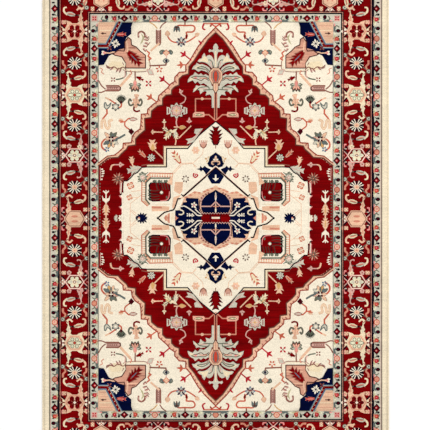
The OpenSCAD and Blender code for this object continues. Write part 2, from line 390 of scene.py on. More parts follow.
def guard_half(at, length, flower):
    """From a red diamond at 0 to the pale flower at length, which the mirrored half shares."""
    def y(t):
        return t * length
    fill(at, "mint", [(2, y(0.44)), (6.4, y(0.46)), (6.4, y(0.58)), (2, y(0.56))])
    fill(at, "mint", [(-6.4, y(0.3)), (-3, y(0.34)), (-2.4, y(0.46)), (-6.4, y(0.44))])
    leaf(at, "black", (-6.2, y(0.2)), (2.4, y(0.2)), 5, 0.35)
    line(at, "sage", [(-1, y(0.2)), (3.5, y(0.24))], 1.4)
    petals(at, "madder", 1, y(0.36), 5, 6.6, 6, 90, 0.2, 0.75)
    oval(at, flower, 1, y(0.36), 4.8, 3.4)
    fill(at, "salmon", [(3, y(0.3)), (6.2, y(0.26)), (6.2, y(0.36)), (4, y(0.38))])
    oval(at, "pink", 0.6, y(0.36), 1.6, 1, 6)
    leaf(at, "olive", (5.8, y(0.36)), (3.6, y(0.52)), 3.4)
    oval(at, "umber", -3, y(0.45), 2.2, 1.6, 6)
    line(at, "sage", [(-5, y(0.28)), (-4.6, y(0.37))], 1.8)
    oval(at, "black", -2.4, y(0.66), 4.8, 4)
    oval(at, "maroon", -2.4, y(0.66), 2.6, 2, 6)
    line(at, "slate", [(2, y(0.62)), (5.4, y(0.7)), (3.4, y(0.78))], 2.6)
    line(at, "slate", [(6, y(0.64)), (6.2, y(0.88))], 1.8)
    line(at, "sage", [(-4, y(0.8)), (0.5, y(0.85)), (5, y(0.8))], 1.8)
    fill(at, "pink", [(3.4, y(0.84)), (6, y(0.82)), (6, y(0.95)), (4.6, y(0.93))])


def pale_flower(at, fill_dye):
    diamond(at, "umber", 0, 0, 3.4, 8.6)
    oval(at, "orange" if fill_dye == "peach" else "madder", 0, 0, 6.2, 6.4, 8)
    oval(at, fill_dye, 0, 0, 4.6, 4.8, 8)
    oval(at, "pink" if fill_dye == "peach" else "salmon", -0.4, 0.4, 2.2, 2.2, 6)


def guard_run(stops, across, along_x, sign, beyond=0):
    """A guard stripe with a red diamond at each stop and a pale flower half way between."""
    def spot(s, way=1):
        def at(p):
            along, off = s + way * p[1], sign * (across - p[0])
            return (along, off) if along_x else (off, along)
        return at

    for i, s in enumerate(stops):
        guard_diamond(spot(s))
        for way, j in ((1, i + 1), (-1, i - 1)):
            inside = 0 <= j < len(stops)
            half = abs(stops[j] - s) / 2 if inside else beyond
            if half > 35:
                guard_half(spot(s, way), half, "rose" if (i + (way < 0)) % 2 else "orange")
            elif half:
                oval(spot(s, way), "black", -2.6, 12, 3.4, 1.8)
            if half > 25 and inside and way > 0:
                pale_flower(spot(s + half), "salmon" if i % 2 else "peach")


def framing_lines():
    """Fine pale and grey-green lines beside the dark ones."""
    for half_w, half_l, dye, width in ((311.6, 466, "clay", 0.8), (309.8, 464.2, "maroon", 1.4),
                                       (254.4, 409, "clay", 0.8), (256.2, 410.8, "maroon", 1.4),
                                       (331, 485, "mauve", 1.1), (236, 390, "celadon", 0.8)):
        for at in mirrors():
            line(at, dye, [(half_w, 0), (half_w, half_l), (0, half_l)], width)


def guard_stripes():
    inner_side = (-338, -230.5, -117, -4.5, 112, 223.5, 336.5)
    outer_side = (-477, -383, -268.5, -155, -42.5, 72.5, 185.5, 296.5, 416.5, 477)
    for sx in (1, -1):
        guard_run(inner_side, 243, False, sx, 54)
        guard_run(outer_side, 322.5, False, sx)
    for sy in (1, -1):
        guard_run((-183, -61, 61, 183), 397, True, sy, 54)
        guard_run((-290, -174, -58, 58, 174, 290), 477, True, sy, 20)
        for sx in (1, -1):
            corner = place(sx * 243, sy * 397)
            fill(corner, "mauve", [(-6, -6), (6, -6), (6, 6), (-6, 6)])
            petals(corner, "rose", 0, 0, 4, 5.4, 3.6, 45)
            diamond(corner, "pink", 0, 0, 1.8)


# ---------------------------------------------------------------- medallion
def medallion_lines(at):
    """Dark outlines of the medallion and of the inner medallion, in one quarter."""
    step = [(54, 145), (104.5, 144.5), (104.5, 107.5), (135, 107.5), (148, 105.5)]
    edge = [(0, 193.5), (32, 167.5), (56, 139.5), (98.5, 139.5), (98.5, 102.5), (136.5, 102.5),
            (148, 101.5), (152.5, 96.5), (156.5, 91.5), (164.5, 87.5), (170.5, 80.5), (177.5, 74.5),
            (183.5, 74.5)]
    line(at, "cream", [(57, 142.3), (101.5, 142.3), (101.5, 105), (136, 105)], 4.4)
    line(at, "brown", step, 1.5)
    line(at, "black", edge, 2)
    curve(at, "maroon", [(184.5, 73.5), (186, 60), (185, 48)], 1.6)
    for y in (44, 22):
        fill(at, "ivory", [(185, y + 6), (193.4, y + 1), (185, y - 6)])
        line(at, "black", [(187, y + 5), (193, y + 1)], 1.8)
        line(at, "pink", [(193, y + 1), (187.6, y - 5), (187.6, y - 12)], 1.6)
    line(at, "ivory", [(189, 70), (190, 50)], 1.6)
    line(at, "pink", [(191, 72), (192, 52)], 1.2)
    line(at, "ivory", [(186, 50), (186, 4)], 3)
    line(at, "shell", [(0, 103), (64.5, 45.5)], 1.2)
    line(at, "black", [(0, 100.6), (64.5, 44)], 2.8)
    line(at, "black", [(68.5, 47.5), (64.5, 43.5)], 1.8)
    line(at, "black", [(71, 39), (76, 38.5), (78.5, 30.5), (81.5, 21.5), (84.5, 16.5), (92, 14.5),
                       (102.5, 11.5), (109, 6.5), (117, -1)], 2.3)


def between(a, b, count):
    """Evenly spaced points from a to b."""
    for i in range(count):
        t = i / (count - 1)
        yield a[0] + (b[0] - a[0]) * t, a[1] + (b[1] - a[1]) * t


def square_bracket(at):
    """A rust and peach bracket with ivory strokes across both of its arms."""
    bracket = [(88, 86), (130.5, 87), (144.5, 74), (145, 36), (136, 28)]
    line(at, "rust", bracket, 7.2)
    line(at, "peach", bracket, 4.6)
    strokes = 9
    arms = zip(between((89, 85), (129, 86), strokes), between((144, 72.5), (144, 36), strokes))
    for (x, y), (u, v) in arms:
        line(at, "ivory", [(x, y - 2), (x, y + 2)], 1.9)
        line(at, "ivory", [(u - 2, v), (u + 2, v)], 1.9)
    line(at, "sage", [(89, 80), (130.5, 80), (139.5, 71), (140, 37.5), (132.5, 28)], 2.6)


def scalloped_square(at):
    """The palmette's ivory square, its sage petals and the red square inside them."""
    fill(at, "ivory", [(89, 78), (129.5, 78), (137.5, 69.5), (138, 38), (130.5, 29), (92, 29)])
    for x in (123, 113, 99):
        petals(at, "sage", x, 68, 1, 9, 8, 90)
    for y in (64.5, 54.5, 46, 38):
        petals(at, "sage", 127, y, 1, 8, 7, 0)
    fill(at, "black", [(92.5, 71.5), (130.5, 71.5), (134, 67.5), (133.5, 36), (126, 33),
                       (94.5, 34), (89.5, 40.5), (90.5, 69)])
    fill(at, "red", [(94, 70), (127.5, 70), (131.5, 66.5), (129.5, 36.5), (123.5, 35.5),
                     (97.5, 36), (92, 41.5), (92.5, 66.5)])
    for x in (119.5, 113, 108, 103, 97.5):
        curve(at, "umber", [(x, 75), (x - 1, 64.5), (x - 3, 57.5)], 1.9)
        line(at, "sage", [(x, 76), (x, 71)], 1.8)
    for y in (54.5, 48, 43, 37.5):
        curve(at, "umber", [(133, y + 1.5), (123, y), (113, y + 1.5)], 1.7)
        line(at, "sage", [(135.4, y + 2), (130, y + 1)], 1.6)


def square_flower(at):
    """Square palmette with the patches and the small corner bloom that stand round it."""
    square_bracket(at)
    scalloped_square(at)
    line(at, "maroon", [(112, 65.5), (110, 53)], 2.2)
    line(at, "maroon", [(125.5, 50.5), (112, 49.5)], 2)
    curve(at, "pink", [(92.5, 53), (94, 41.5), (99, 36), (110.5, 34.5)], 1.5)
    oval(at, "sage", 98, 41.5, 2, 3, 6)
    oval(at, "sage", 108.5, 51, 4, 4)
    oval(at, "ivory", 108.5, 51.5, 2.8, 2.8)
    fill(at, "peach", [(81.5, 72.5), (65.5, 72.5), (66.5, 54.5), (72, 47.5), (83.5, 54.5)])
    fill(at, "peach", [(128.5, 24.5), (106, 24.5), (92.5, 23), (93.5, 14.5), (128, 13.5)])
    line(at, "salmon", [(127, 21.5), (109, 21)], 3)
    line(at, "camel", [(117.5, 28), (97.5, 27.5)], 2.4)
    petals(at, "sage", 146.5, 81.5, 9, 11, 4.5, 10)
    petals(at, "celadon", 146.5, 81.5, 9, 7.6, 2.2, 10)
    petals(at, "mauve", 146.5, 81.5, 5, 4.4, 3, 30)
    curve(at, "sage", [(136, 91.5), (141, 88), (147.5, 92.5), (151, 87.5)], 1.4)
    curve(at, "sage", [(154.5, 79), (150.5, 76), (155.5, 72.5)], 1.4)


def small_medallion_flowers(at):
    for x, y, r in ((170.5, 65, 8), (172.5, 41.5, 6.5)):
        petals(at, "rust", x, y, 4, r, r, 20)
        petals(at, "peach", x, y, 4, r * 0.72, r * 0.66, 20)
        petals(at, "rust", x, y, 2, r * 0.5, 2, 50)
    for vine in ([(168.5, 53), (150.5, 55.5)], [(149, 46), (171, 29), (171.5, -1)],
                 [(167.5, 41.5), (156, 41.5)], [(170.5, 14.5), (163.5, 8), (157, 1.5)],
                 [(168.5, 16.5), (159, 9)], [(87.5, 89.5), (68.5, 109.5), (47.5, 110.5), (39, 103)]):
        line(at, "peach", vine, 1)
    for a in range(7):
        petals(at, "umber", 60.5, 78.5, 1, 8, 3.4, a * 51, 0.3)
    petals(at, "celadon", 60.5, 78.5, 7, 5.4, 1.4, 0, 0.2)
    curve(at, "rose", [(44, 89.5), (44.5, 84.5), (40.5, 81.5), (36, 85.5), (39, 88), (41, 85.5)], 2.2)
    curve(at, "pink", [(42.5, 88.5), (37.5, 88)], 1.8)


def navy_flower(at):
    """Dark flower on the cross axis, half of it, with its pale eyes."""
    for a in (0, 25, 50, 80, 110, 140, 165):
        petals(at, "navy", 148.5, -1, 1, 12.5, 4.4, a)
    oval(at, "navy", 149.5, -1, 8, 7)
    oval(at, "ivory", 154, 2, 2.6, 2.2)
    oval(at, "salmon", 153.5, -0.5, 2, 2, 6)
    curve(at, "navy", [(142.5, 6.5), (138.5, 8)], 1.6)


def inner_medallion(at):
    fill(at, "ivory", [(0, 99), (64, 41.5), (70.5, 37.5), (76, 36), (83.5, 15.5), (102.5, 9.5), (114.5, -1),
                       (50, 0), (0, 40)])
    flame = [(0, 66), (7.5, 61), (21, 57), (27.5, 50.5), (42, 54.5), (53.5, 47.5), (64, 41.5),
             (67, 30.5), (72, 24.5), (72, 16), (60, 20), (0, 20)]
    fill(at, "peach", flame)
    for x, y in ((7.5, 59), (16, 56), (22.5, 53), (33, 50.5), (42, 51), (50.5, 46), (59, 41.5)):
        diamond(at, "salmon", x, y, 4.5, 2.2)
    fill(at, "ivory", [(64.5, 39.5), (71, 36), (76, 30.5), (79, 19), (72, 17.5), (68.5, 29)])
    fill(at, "peach", [(68.5, 47.5), (84.5, 41.5), (87.5, 21.5), (83.5, 16), (76, 37.5)])
    leaf(at, "salmon", (27.5, 0), (104, -1), 0.1)
    fill(at, "salmon", [(92, 10.5), (96, 8.5), (97.5, 5.5), (100.5, 5.5), (104, -1), (92, -1)])
    line(at, "peach", [(95.5, 7.5), (97.5, 1)], 1.3)
    fill(at, "camel", [(90, 9), (83.5, 11.5), (82.5, -1), (90, -1)])


def navy_core(at):
    """The dome, the side lobe and their scrolls, in one quarter."""
    dome = [(0, 57), (6, 53), (12, 50), (20, 45), (27, 36), (29, 28), (29, 8), (0, 8)]
    fill(at, "mauve", [(24, 44), (30, 42), (33, 34), (33, 8), (24, 8)])
    for x, y in ((15, 50), (20, 47.5), (25, 44.5), (28.5, 40), (31, 34)):
        diamond(at, "brown", x, y, 3, 2.2)
        diamond(at, "mauve", x + 2, y - 1, 1.6, 1.4)
    fill(at, "navy", dome)
    fill(at, "peach", [(31, 41.5), (34.5, 41.5), (33.5, 13), (26, 6), (25.5, 10.5), (29.5, 19)])
    line(at, "maroon", [(32, 36), (32, 19), (26, 7.5)], 1.4)
    fill(at, "navy", [(34.5, 39.5), (59, 40.5), (60.5, 36), (57, 32.5), (65.5, 31.5), (67, 26.5), (72, 23),
                      (69, 16.5), (81, 15.5), (81.5, -1), (26, -1), (26, 3), (32.5, 16)])
    curve(at, "ivory", [(70.5, 23), (62.5, 24), (53.5, 19), (42.5, 11), (36, 5.5), (25.5, 5.5)], 1.9)
    curve(at, "ivory", [(40.5, 17.5), (35.5, 12.5), (29, 7.5)], 2.1, 1.3)
    curve(at, "camel", [(71, 16.5), (66, 14.5), (64.5, 10), (68.5, 7), (73.5, 7.5)], 2)
    petals(at, "ivory", 54.5, 6.5, 4, 4.5, 3, 45)
    petals(at, "ivory", 47, 5.5, 4, 4, 3.4)
    line(at, "ivory", [(53.5, 6.5), (43.5, 5.5)], 1.2)
    petals(at, "ivory", 43.5, 26, 5, 6.5, 4, 100)
    oval(at, "pink", 43.5, 25.5, 1.8, 1.8, 6)
    line(at, "ivory", [(42.5, 23), (39, 19.5)], 1.5)
    fill(at, "salmon", [(81, 5.5), (74.5, -1), (81, -1)])
    line(at, "mauve", [(28.5, 23.5), (9.5, 23.5), (0, 33)], 2)
    line(at, "navy", [(25.5, -1), (57, -1)], 3)


def navy_axis(at):
    """Beads and crossings on the long axis, in the upper half."""
    leaf(at, "ivory", (0, 33.5), (0, 53), 3.6)
    leaf(at, "salmon", (0, 38), (0, 50), 1.6)
    leaf(at, "camel", (0, 9), (0, 22), 3.4, 0.6)
    leaf(at, "peach", (0, 18), (0, 31), 3.2)
    line(at, "salmon", [(-5.5, 23.5), (5.5, 23.5)], 1.5)
    for k in range(-5, 6):
        fill(at, "maroon", [(k * 5.5 - 2.6, 7), (k * 5.5, 10.6), (k * 5.5 + 2.6, 7)])
        line(at, "mauve", [(k * 5.5 - 2.6, 8.4), (k * 5.5, 11), (k * 5.5 + 2.6, 8.4)], 0.9)


def centre_bar(at):
    fill(at, "red", outline_six(28, 7.6, 27))
    for x in (-20, 0, 20):
        fill(at, "red", [(x + p, q) for p, q in outline_six(9.5, 7, 6)])
    for x in (-10, 10):
        line(at, "maroon", [(x, -7), (x - 1.5, 0), (x, 7)], 1.8)
    line(at, "ivory", [(-7, 0.5), (7, 0.5)], 3)
    line(at, "peach", [(-4, 0.5), (4, 0.5)], 1.2)


def navy_shield(at):
    """Shield, ogee and serrated wings above the dome, and the red leaf over them."""
    half = [(0, 99), (16.5, 84), (16, 82), (8, 69)]
    fill(at, "ivory", two_sided([(x * 1.12, y - 1) for x, y in half]))
    fill(at, "navy", two_sided(half))
    fill(at, "ivory", [(1.4, 87), (1.6, 80), (6.5, 79.5), (0, 74), (-6.5, 79.5), (-1.6, 80), (-1.4, 87)])
    ogee = [(0, 132), (5, 128), (12, 123), (14, 114), (17, 109), (13, 103), (6, 101), (0, 105)]
    fill(at, "camel", two_sided([(x * 1.14, y + 0.5) for x, y in ogee], -2))
    fill(at, "navy", two_sided(ogee, -2))
    for s in (1, -1):
        curve(at, "peach", [(s * 1, 121), (s * 2.5, 114), (s * 7, 113), (s * 7.5, 109),
                            (s * 4.5, 107.5)], 2.2)
        fill(at, "navy", [(s * x, y) for x, y in (
            (39.5, 98), (32, 100), (30.5, 105), (26.5, 100.5), (22, 105), (18.5, 101.5), (10, 98),
            (12, 94.5), (19.5, 86.5), (22, 91.5), (25.5, 96.5), (29.5, 93), (32, 96.5))])
    petals(at, "ivory", 0, 119, 3, 6, 4, 90)
    line(at, "peach", [(0, 113), (0, 124)], 1.6)
    comb(at, "maroon", (0, 146), (0, 182), 30, 5, 0.9)
    comb(at, "red", (0, 149), (0, 179), 19, 5, 0.9)
    line(at, "brown", [(0, 140), (0, 147)], 1.4)


def upper_medallion_flowers(at):
    fill(at, "mauve", [(28.5, 152.5), (20, 152.5), (19.5, 145), (24, 140), (30, 145.5)])
    for top, waist in ((32.2, 30.6), (28.6, 27.4), (24.6, 24.6), (21, 21.8), (17.4, 19)):
        line(at, "clay", [(top, 155.4), (waist, 147.4), (24.6, 140.6)], 1.5)
    line(at, "brown", [(31, 148), (29.5, 143.5), (24.5, 140), (20, 143.5), (18.5, 148)], 1.8)
    line(at, "peach", [(25, 139.5), (26, 128.5), (46, 109.5), (67, 107.5), (86.5, 86.5)], 1)
    line(at, "peach", [(46, 109.5), (40, 100.5)], 0.8)
    petals(at, "peach", 40, 136, 6, 8.4, 6)
    petals(at, "shell", 40, 136, 5, 4, 3)
    comb(at, "rust", (70.5, 109.5), (84.5, 132), 16, 4, 0.9)
    comb(at, "cream", (72, 112.5), (82, 128), 10, 3, 0.9)
    fill(at, "peach", [(98, 70.5), (85.5, 88), (87, 65.5)])
    petals(at, "ochre", 15.5, 117.5, 4, 6.6, 4.4, 20)
    petals(at, "peach", 15.5, 117.5, 3, 4, 3)


# ---------------------------------------------------------------- red lozenge
def torn_leaves(at):
    """The four torn leaves on one side of the tree palmette, each over its dark shade."""
    first = [(2.8, 309.4), (4.8, 316.4), (8, 321.4), (12.8, 323.8), (17.8, 322), (19.4, 319), (20.8, 323.6),
             (22.4, 327.4), (24.8, 325.8), (27.4, 321), (27.8, 317.4), (32.8, 315.4), (36.4, 311),
             (32.8, 309.2), (26.8, 309.8), (20.8, 308.4), (15.8, 305.4), (10.8, 300.4), (5, 294)]
    second = [(8, 290), (12.8, 298.4), (18.8, 302.4), (26.8, 305.4), (32.8, 305), (38.2, 308),
              (39.8, 304.2), (44.8, 301), (47.8, 294.8), (42.8, 295.4), (38.8, 293), (34.8, 290),
              (28.8, 293), (22.8, 291.6), (16.8, 288.8), (12, 284)]
    third = [(12, 282), (16, 282.4), (20, 285.4), (25, 283), (29.4, 287), (34, 284), (41.4, 289.4),
             (45, 284), (51, 281), (55, 275.4), (56.4, 268.8), (52, 270.4), (46, 273), (41, 266.6),
             (36, 270.8), (31, 265), (24, 267.4), (18, 263.4), (13, 258.4), (6, 252)]
    fourth = [(6, 262), (17, 258.4), (22, 262), (30, 263.4), (33, 261.4), (39.4, 263.2), (40.4, 259.4),
              (44.4, 254.8), (45.4, 248.8), (42, 250.8), (38, 254.4), (33, 253.4), (30.6, 245),
              (26, 249.8), (21, 252), (18, 249.4), (20.4, 242.4), (12, 244.8), (8, 240.4), (7.8, 218),
              (2.8, 218), (2.8, 250)]
    for outline in (first, second, third, fourth):
        fill(at, "maroon", [(x + 0.8, y - 1.2) for x, y in outline])
        fill(at, "celadon", outline)


def leaf_veins(at):
    """Cream patches and coloured veins on the leaves of one side."""
    for patch in ([(14, 308), (18, 319), (23, 322), (27, 316), (33, 312), (22, 310)],
                  [(24, 250), (32, 258), (40, 257), (43, 253), (32, 256)],
                  [(30, 303), (38, 301), (44, 297), (36, 296), (30, 298)],
                  [(40, 282), (50, 278), (53, 272), (44, 275)]):
        fill(at, "cream", patch)
    fill(at, "celadon", [(3, 244), (7.4, 242), (7.4, 220), (3, 220)])
    curve(at, "sage", [(5, 299), (7, 309), (11, 313.4), (14.4, 313.6)], 1.6)
    curve(at, "mauve", [(9, 311), (9.6, 305), (6.4, 298)], 1.4)
    curve(at, "sage", [(11, 290), (20, 298), (29, 300.4), (37, 297.6), (29, 296.4), (22, 295)], 1.6)
    curve(at, "brown", [(15, 288.4), (18, 293.4), (24, 295.6)], 1.2)
    curve(at, "sage", [(13, 275), (22, 280.6), (32, 280.4), (41, 281), (48.6, 278.4)], 1.6)
    curve(at, "umber", [(14, 272.6), (22, 276.6), (29, 272.8), (37, 275.4), (46, 277.4)], 1.3)
    line(at, "salmon", [(18, 277), (25, 277.6), (32, 277)], 1.6)
    oval(at, "pink", 40, 278.4, 3, 1.8)
    curve(at, "sage", [(13, 256), (15, 260), (23, 259.8), (32, 258), (37, 254.6)], 1.7)
    line(at, "mauve", [(18, 255.6), (30, 256)], 1.5)
    line(at, "sage", [(6, 254.6), (24, 253.4)], 1.7)


def palmette_heart(at):
    """The crown, the ringed heart, and the stem that runs down to the medallion."""
    crown = [(0, 347), (3.2, 344.4), (5.4, 339.4), (4.4, 335.8), (7, 333.4), (11.8, 335.4), (14.6, 332.4),
             (13.2, 329), (8.8, 330.6), (4.6, 329.4), (2.8, 324), (2.6, 316), (3.4, 296), (0, 292)]
    fill(at, "celadon", two_sided(crown, -2))
    line(at, "cream", [(0, 331), (0, 300)], 2)
    for dye, rx, ry in (("umber", 14, 17.4), ("peach", 13, 16.2), ("brown", 9.6, 13), ("salmon", 8.8, 12.2),
                        ("slate", 6, 11), ("orange", 3.4, 10.4)):
        fill(at, dye, [(rx, 281 + ry * 0.5), (rx * 0.45, 281 + ry), (-rx * 0.45, 281 + ry),
                       (-rx, 281 + ry * 0.5), (-rx, 281 - ry * 0.3), (-rx * 0.5, 281 - ry),
                       (rx * 0.5, 281 - ry), (rx, 281 - ry * 0.3)])
    fill(at, "umber", [(5.6, 268), (5.6, 254), (0, 245), (-5.6, 254), (-5.6, 268)])
    fill(at, "peach", [(4.4, 267), (4.4, 255), (0, 248), (-4.4, 255), (-4.4, 267)])
    line(at, "salmon", [(0, 266), (0, 252)], 1.2)
    for s in (1, -1):
        line(at, "salmon", [(s * 2.2, 246), (s * 2.2, 195)], 1.6)
    line(at, "umber", [(0, 246), (0, 196)], 1.4)


def tree_palmette(at):
    """Large leafy palmette on the long axis: four pairs of torn leaves, a crown and a heart."""
    for side in (1, -1):
        def half(p, side=side):
            return at((side * p[0], p[1]))
        torn_leaves(half)
        leaf_veins(half)
    palmette_heart(at)


def bud(at, dye, x, y, turn=90, r=6):
    """A small pointed bloom with two side leaves and a dark eye."""
    c, s = math.cos(math.radians(turn)), math.sin(math.radians(turn))
    leaf(at, dye, (x - 0.7 * r * c, y - 0.7 * r * s), (x + 1.1 * r * c, y + 1.1 * r * s), 0.75 * r, 0.45)
    for side in (1, -1):
        leaf(at, dye, (x - 0.3 * r * c, y - 0.3 * r * s), (x - side * 0.8 * r * s,
                                                           y + side * 0.8 * r * c), 0.5 * r)
    oval(at, "umber", x, y, 0.16 * r, 0.16 * r, 6)


def lozenge_foot(at):
    """Stems and the pale lens between the tree palmette and the medallion."""
    line(at, "salmon", [(8, 236), (40.5, 236), (40.5, 209)], 2)
    oval(at, "peach", 27, 236, 3.4, 3)
    line(at, "salmon", [(24, 204), (13.5, 204), (0.5, 192.5)], 2)
    fill(at, "shell", [(23.5, 209.5), (21.5, 202.5), (24, 199.5), (46, 199), (45.5, 206), (41.5, 209.5)])
    leaf(at, "umber", (43, 204), (24.5, 204), 6, 0.5)
    leaf(at, "olive", (41, 204), (26.5, 204), 4, 0.5)
    for px in (7, 0):
        oval(at, "cream", 33 + px, 204.2, 1.5, 1.2, 6)
    curve(at, "mauve", [(72, 250.5), (68.5, 245), (60.5, 239), (63, 230), (71, 225.5)], 1.8)
    bud(at, "mauve", 69.5, 250.5, 60, 6)


def winged_rosette(at):
    """A celadon and mauve rosette with a pale wing on each side."""
    for dye, r, w in (("umber", 17, 10), ("celadon", 16, 8.6), ("brown", 12, 8), ("mauve", 10.6, 6.6)):
        petals(at, dye, 78.5, 212, 8, r, w, 0)
    for x in (94, 60.5):
        fill(at, "celadon", [(x + 4, 220), (x - 3.5, 217.5), (x - 3.5, 206.5), (x + 4, 204)])
        line(at, "red", [(x + 0.5, 216.5), (x + 0.5, 207.5)], 1.6)
    petals(at, "celadon", 78.5, 212, 8, 7, 3, 22)
    petals(at, "peach", 78.5, 212, 4, 6, 5)
    oval(at, "ochre", 78.5, 212, 2.2, 2, 6)


def forked_leaves(at):
    """Serrated leaves that fork from one stem, with the buds round them."""
    curve(at, "mauve", [(78, 196.5), (79, 187.5), (77, 180.5)], 2)
    line(at, "peach", [(83, 179.5), (69.5, 179)], 2)
    leaf(at, "peach", (73.5, 179), (59, 179), 8)
    for dye, grow in (("umber", 2), ("cream", 0)):
        comb(at, dye, (95.5, 170.5), (104.5, 178), 9 + grow, 3, 0.9)
        comb(at, dye, (88, 173.5), (101, 156.5), 13 + grow, 4, 0.9)
        comb(at, dye, (82, 172), (78, 156), 11 + grow, 4, 0.9)
        leaf(at, dye, (89.5, 167.5), (76.5, 176.5), 5 + grow)
    comb(at, "celadon", (81, 171.5), (80, 159.5), 6, 3, 0.9)
    comb(at, "olive", (90, 171.5), (97.5, 161.5), 5, 3, 0.9)
    leaf(at, "ochre", (74, 178), (59.5, 179), 8, 0.45)
    line(at, "sage", [(102.5, 176), (90, 168), (83.5, 159.5)], 1.4)
    line(at, "ochre", [(99.5, 166), (92.5, 171.5)], 1.6)
    curve(at, "peach", [(81, 157.5), (79.5, 151.5), (81, 144)], 2)
    line(at, "peach", [(121, 169.5), (106, 169)], 1.8)
    bud(at, "peach", 125.5, 169.5, 180, 6.5)
    bud(at, "cream", 103, 190, 90, 5.5)
    line(at, "peach", [(103, 187.5), (102, 177)], 1.6)
    bud(at, "mauve", 53, 191.5, 90, 7)
    line(at, "peach", [(49.5, 181.5), (73.5, 157.5)], 2)


def blue_rosette(at):
    """A peach palmette and a dark and pale rosette near the medallion."""
    comb(at, "peach", (127, 134.5), (127, 152.5), 20, 3, 0.9)
    fill(at, "peach", [(132, 145), (122, 145), (118.5, 136.5), (126.5, 131.5), (131, 135)])
    leaf(at, "ochre", (126, 131.5), (126, 146), 8, 0.35)
    line(at, "peach", [(122, 132.5), (104, 115)], 2)
    petals(at, "black", 129, 118, 8, 9, 6, 10)
    petals(at, "celadon", 129, 118, 8, 8, 3.8, 10)
    petals(at, "navy", 129, 118, 8, 4.6, 1.6, 32)
    petals(at, "ivory", 129, 118, 4, 2.8, 2.4)
    comb(at, "clay", (140.5, 119), (153, 131.5), 10, 3, 0.9)
    comb(at, "rust", (142, 120.5), (150.5, 129), 4, 3, 0.9)
    comb(at, "peach", (167, 106.5), (169, 119), 13, 3, 0.9)
    curve(at, "peach", [(167.5, 106.5), (164.5, 99), (159, 94)], 2.2)


def corner_leaf(at):
    """The pale leaf that grips the corner of the medallion."""
    comb(at, "celadon", (148.5, 96.5), (175.5, 91.5), 20, 4, 0.8)
    curve(at, "mauve", [(173.5, 90.5), (161, 94), (149.5, 97)], 1.2)


def arrow_flower(at):
    """Two buds on one stem, which make an arrow near the side."""
    line(at, "mauve", [(187, 104), (203.5, 104)], 1.8)
    curve(at, "peach", [(203.5, 104), (208.5, 101.5), (210.5, 94)], 2, 3)
    bud(at, "mauve", 190.5, 104, 180, 7)
    bud(at, "mauve", 190.5, 104, 0, 6)


def spiky_flower(at):
    """Twelve thin clay and brown petals round a sage eye."""
    for a in range(0, 360, 30):
        petals(at, "clay" if a % 60 else "brown", 195.5, 76, 1, 12.6, 2.6, a + 15)
    petals(at, "sage", 195.5, 76, 6, 6.4, 2.4)
    oval(at, "salmon", 195.5, 76, 1.6, 1.6, 6)


def red_lozenge_flowers(at):
    """Vines, rosettes, buds and leaves of one quarter of the red lozenge."""
    for draw in (lozenge_foot, winged_rosette, forked_leaves, blue_rosette, corner_leaf, arrow_flower,
                 spiky_flower):
        draw(at)


def medallion_white_leaf(at):
    """Pale leaf that grows out of the medallion's diagonal."""
    fill(at, "celadon", [(25.5, 179.5), (41.5, 178.5), (43, 170.5), (38, 167), (47, 160.5), (60.5, 158),
                         (55, 154.5), (58, 148), (44.5, 152.5)])
    curve(at, "mauve", [(30, 176), (38, 164.5), (52, 153.5)], 1.2)


def side_panel(at):
    """Fleur and fir tree in the red beside the medallion, upper half."""
    fill(at, "ivory", [(211.6, 43), (214.4, 37), (218.4, 36), (218.6, 53), (220.6, 53), (220.8, 36),
                       (224.8, 37), (227.6, 43), (226.6, 33), (222, 29), (219.6, 25), (217.2, 29),
                       (212.6, 33)])
    line(at, "ivory", [(214.6, 51), (219.6, 46), (224.6, 51)], 2)
    line(at, "peach", [(219.6, 26), (219.6, 0)], 2.4)
    comb(at, "peach", (219.6, 24), (219.6, 4), 17, 4, 0.7)
    line(at, "ochre", [(219.6, 20), (219.6, 8)], 1.8)
    line(at, "mauve", [(231, 97.5), (230.5, 72.5)], 1.2)
    for y, w in ((94, 6), (89.5, 9), (85, 9), (80, 7), (74, 5)):
        petals(at, "ivory", 231, y, 1, w, 3.5, 165)
    for y in range(0, 68, 6):
        oval(at, "sage", 231.5, y, 1.3, 1.6, 6)


def medallion_nub(at):
    """White nub where the cross axis meets the medallion's side."""
    petals(at, "ivory", 188, 0, 8, 8, 4)
    oval(at, "ivory", 185, 0, 5, 4)
    for a in (-60, -30, 0, 30, 60):
        petals(at, "celadon", 196, 0, 1, 8, 4, a)


def apex_scrolls(at):
    """Red hooks and a salmon bar over the lozenge's apex."""
    line(at, "slate", [(25, 390.4), (0, 391.6)], 2.6)
    line(at, "salmon", [(24, 386.6), (0, 386.6)], 2.6)
    line(at, "orange", [(10, 386.6), (0, 380)], 2.2)
    line(at, "orange", [(10, 387), (0, 387)], 1.4)
    curve(at, "rose", [(23.6, 386), (26, 380), (25, 376), (21.4, 374.4)], 3, 2.4)
    leaf(at, "madder", (8.4, 385), (11.4, 379.4), 4)
    line(at, "rose", [(32, 350.5), (29, 346.5)], 3)
    line(at, "rose", [(34, 352), (30, 349)], 2)


# ---------------------------------------------------------------- ivory field and corners
def lozenge_chains():
    """The lozenge's outer and inner edge in one quarter, from the apex to the field's side."""
    loop = top_outlines("lozenge_outline_far_right")[0]
    apex = loop.index(max(loop, key=lambda p: p[1]))
    loop = loop[apex:] + loop[:apex]
    side = loop.index(min((p for p in loop if p[0] > FIELD_HALF_W - 1), key=lambda p: p[1]))
    return [loop[0]] + loop[:side:-1], loop[1:side + 1]


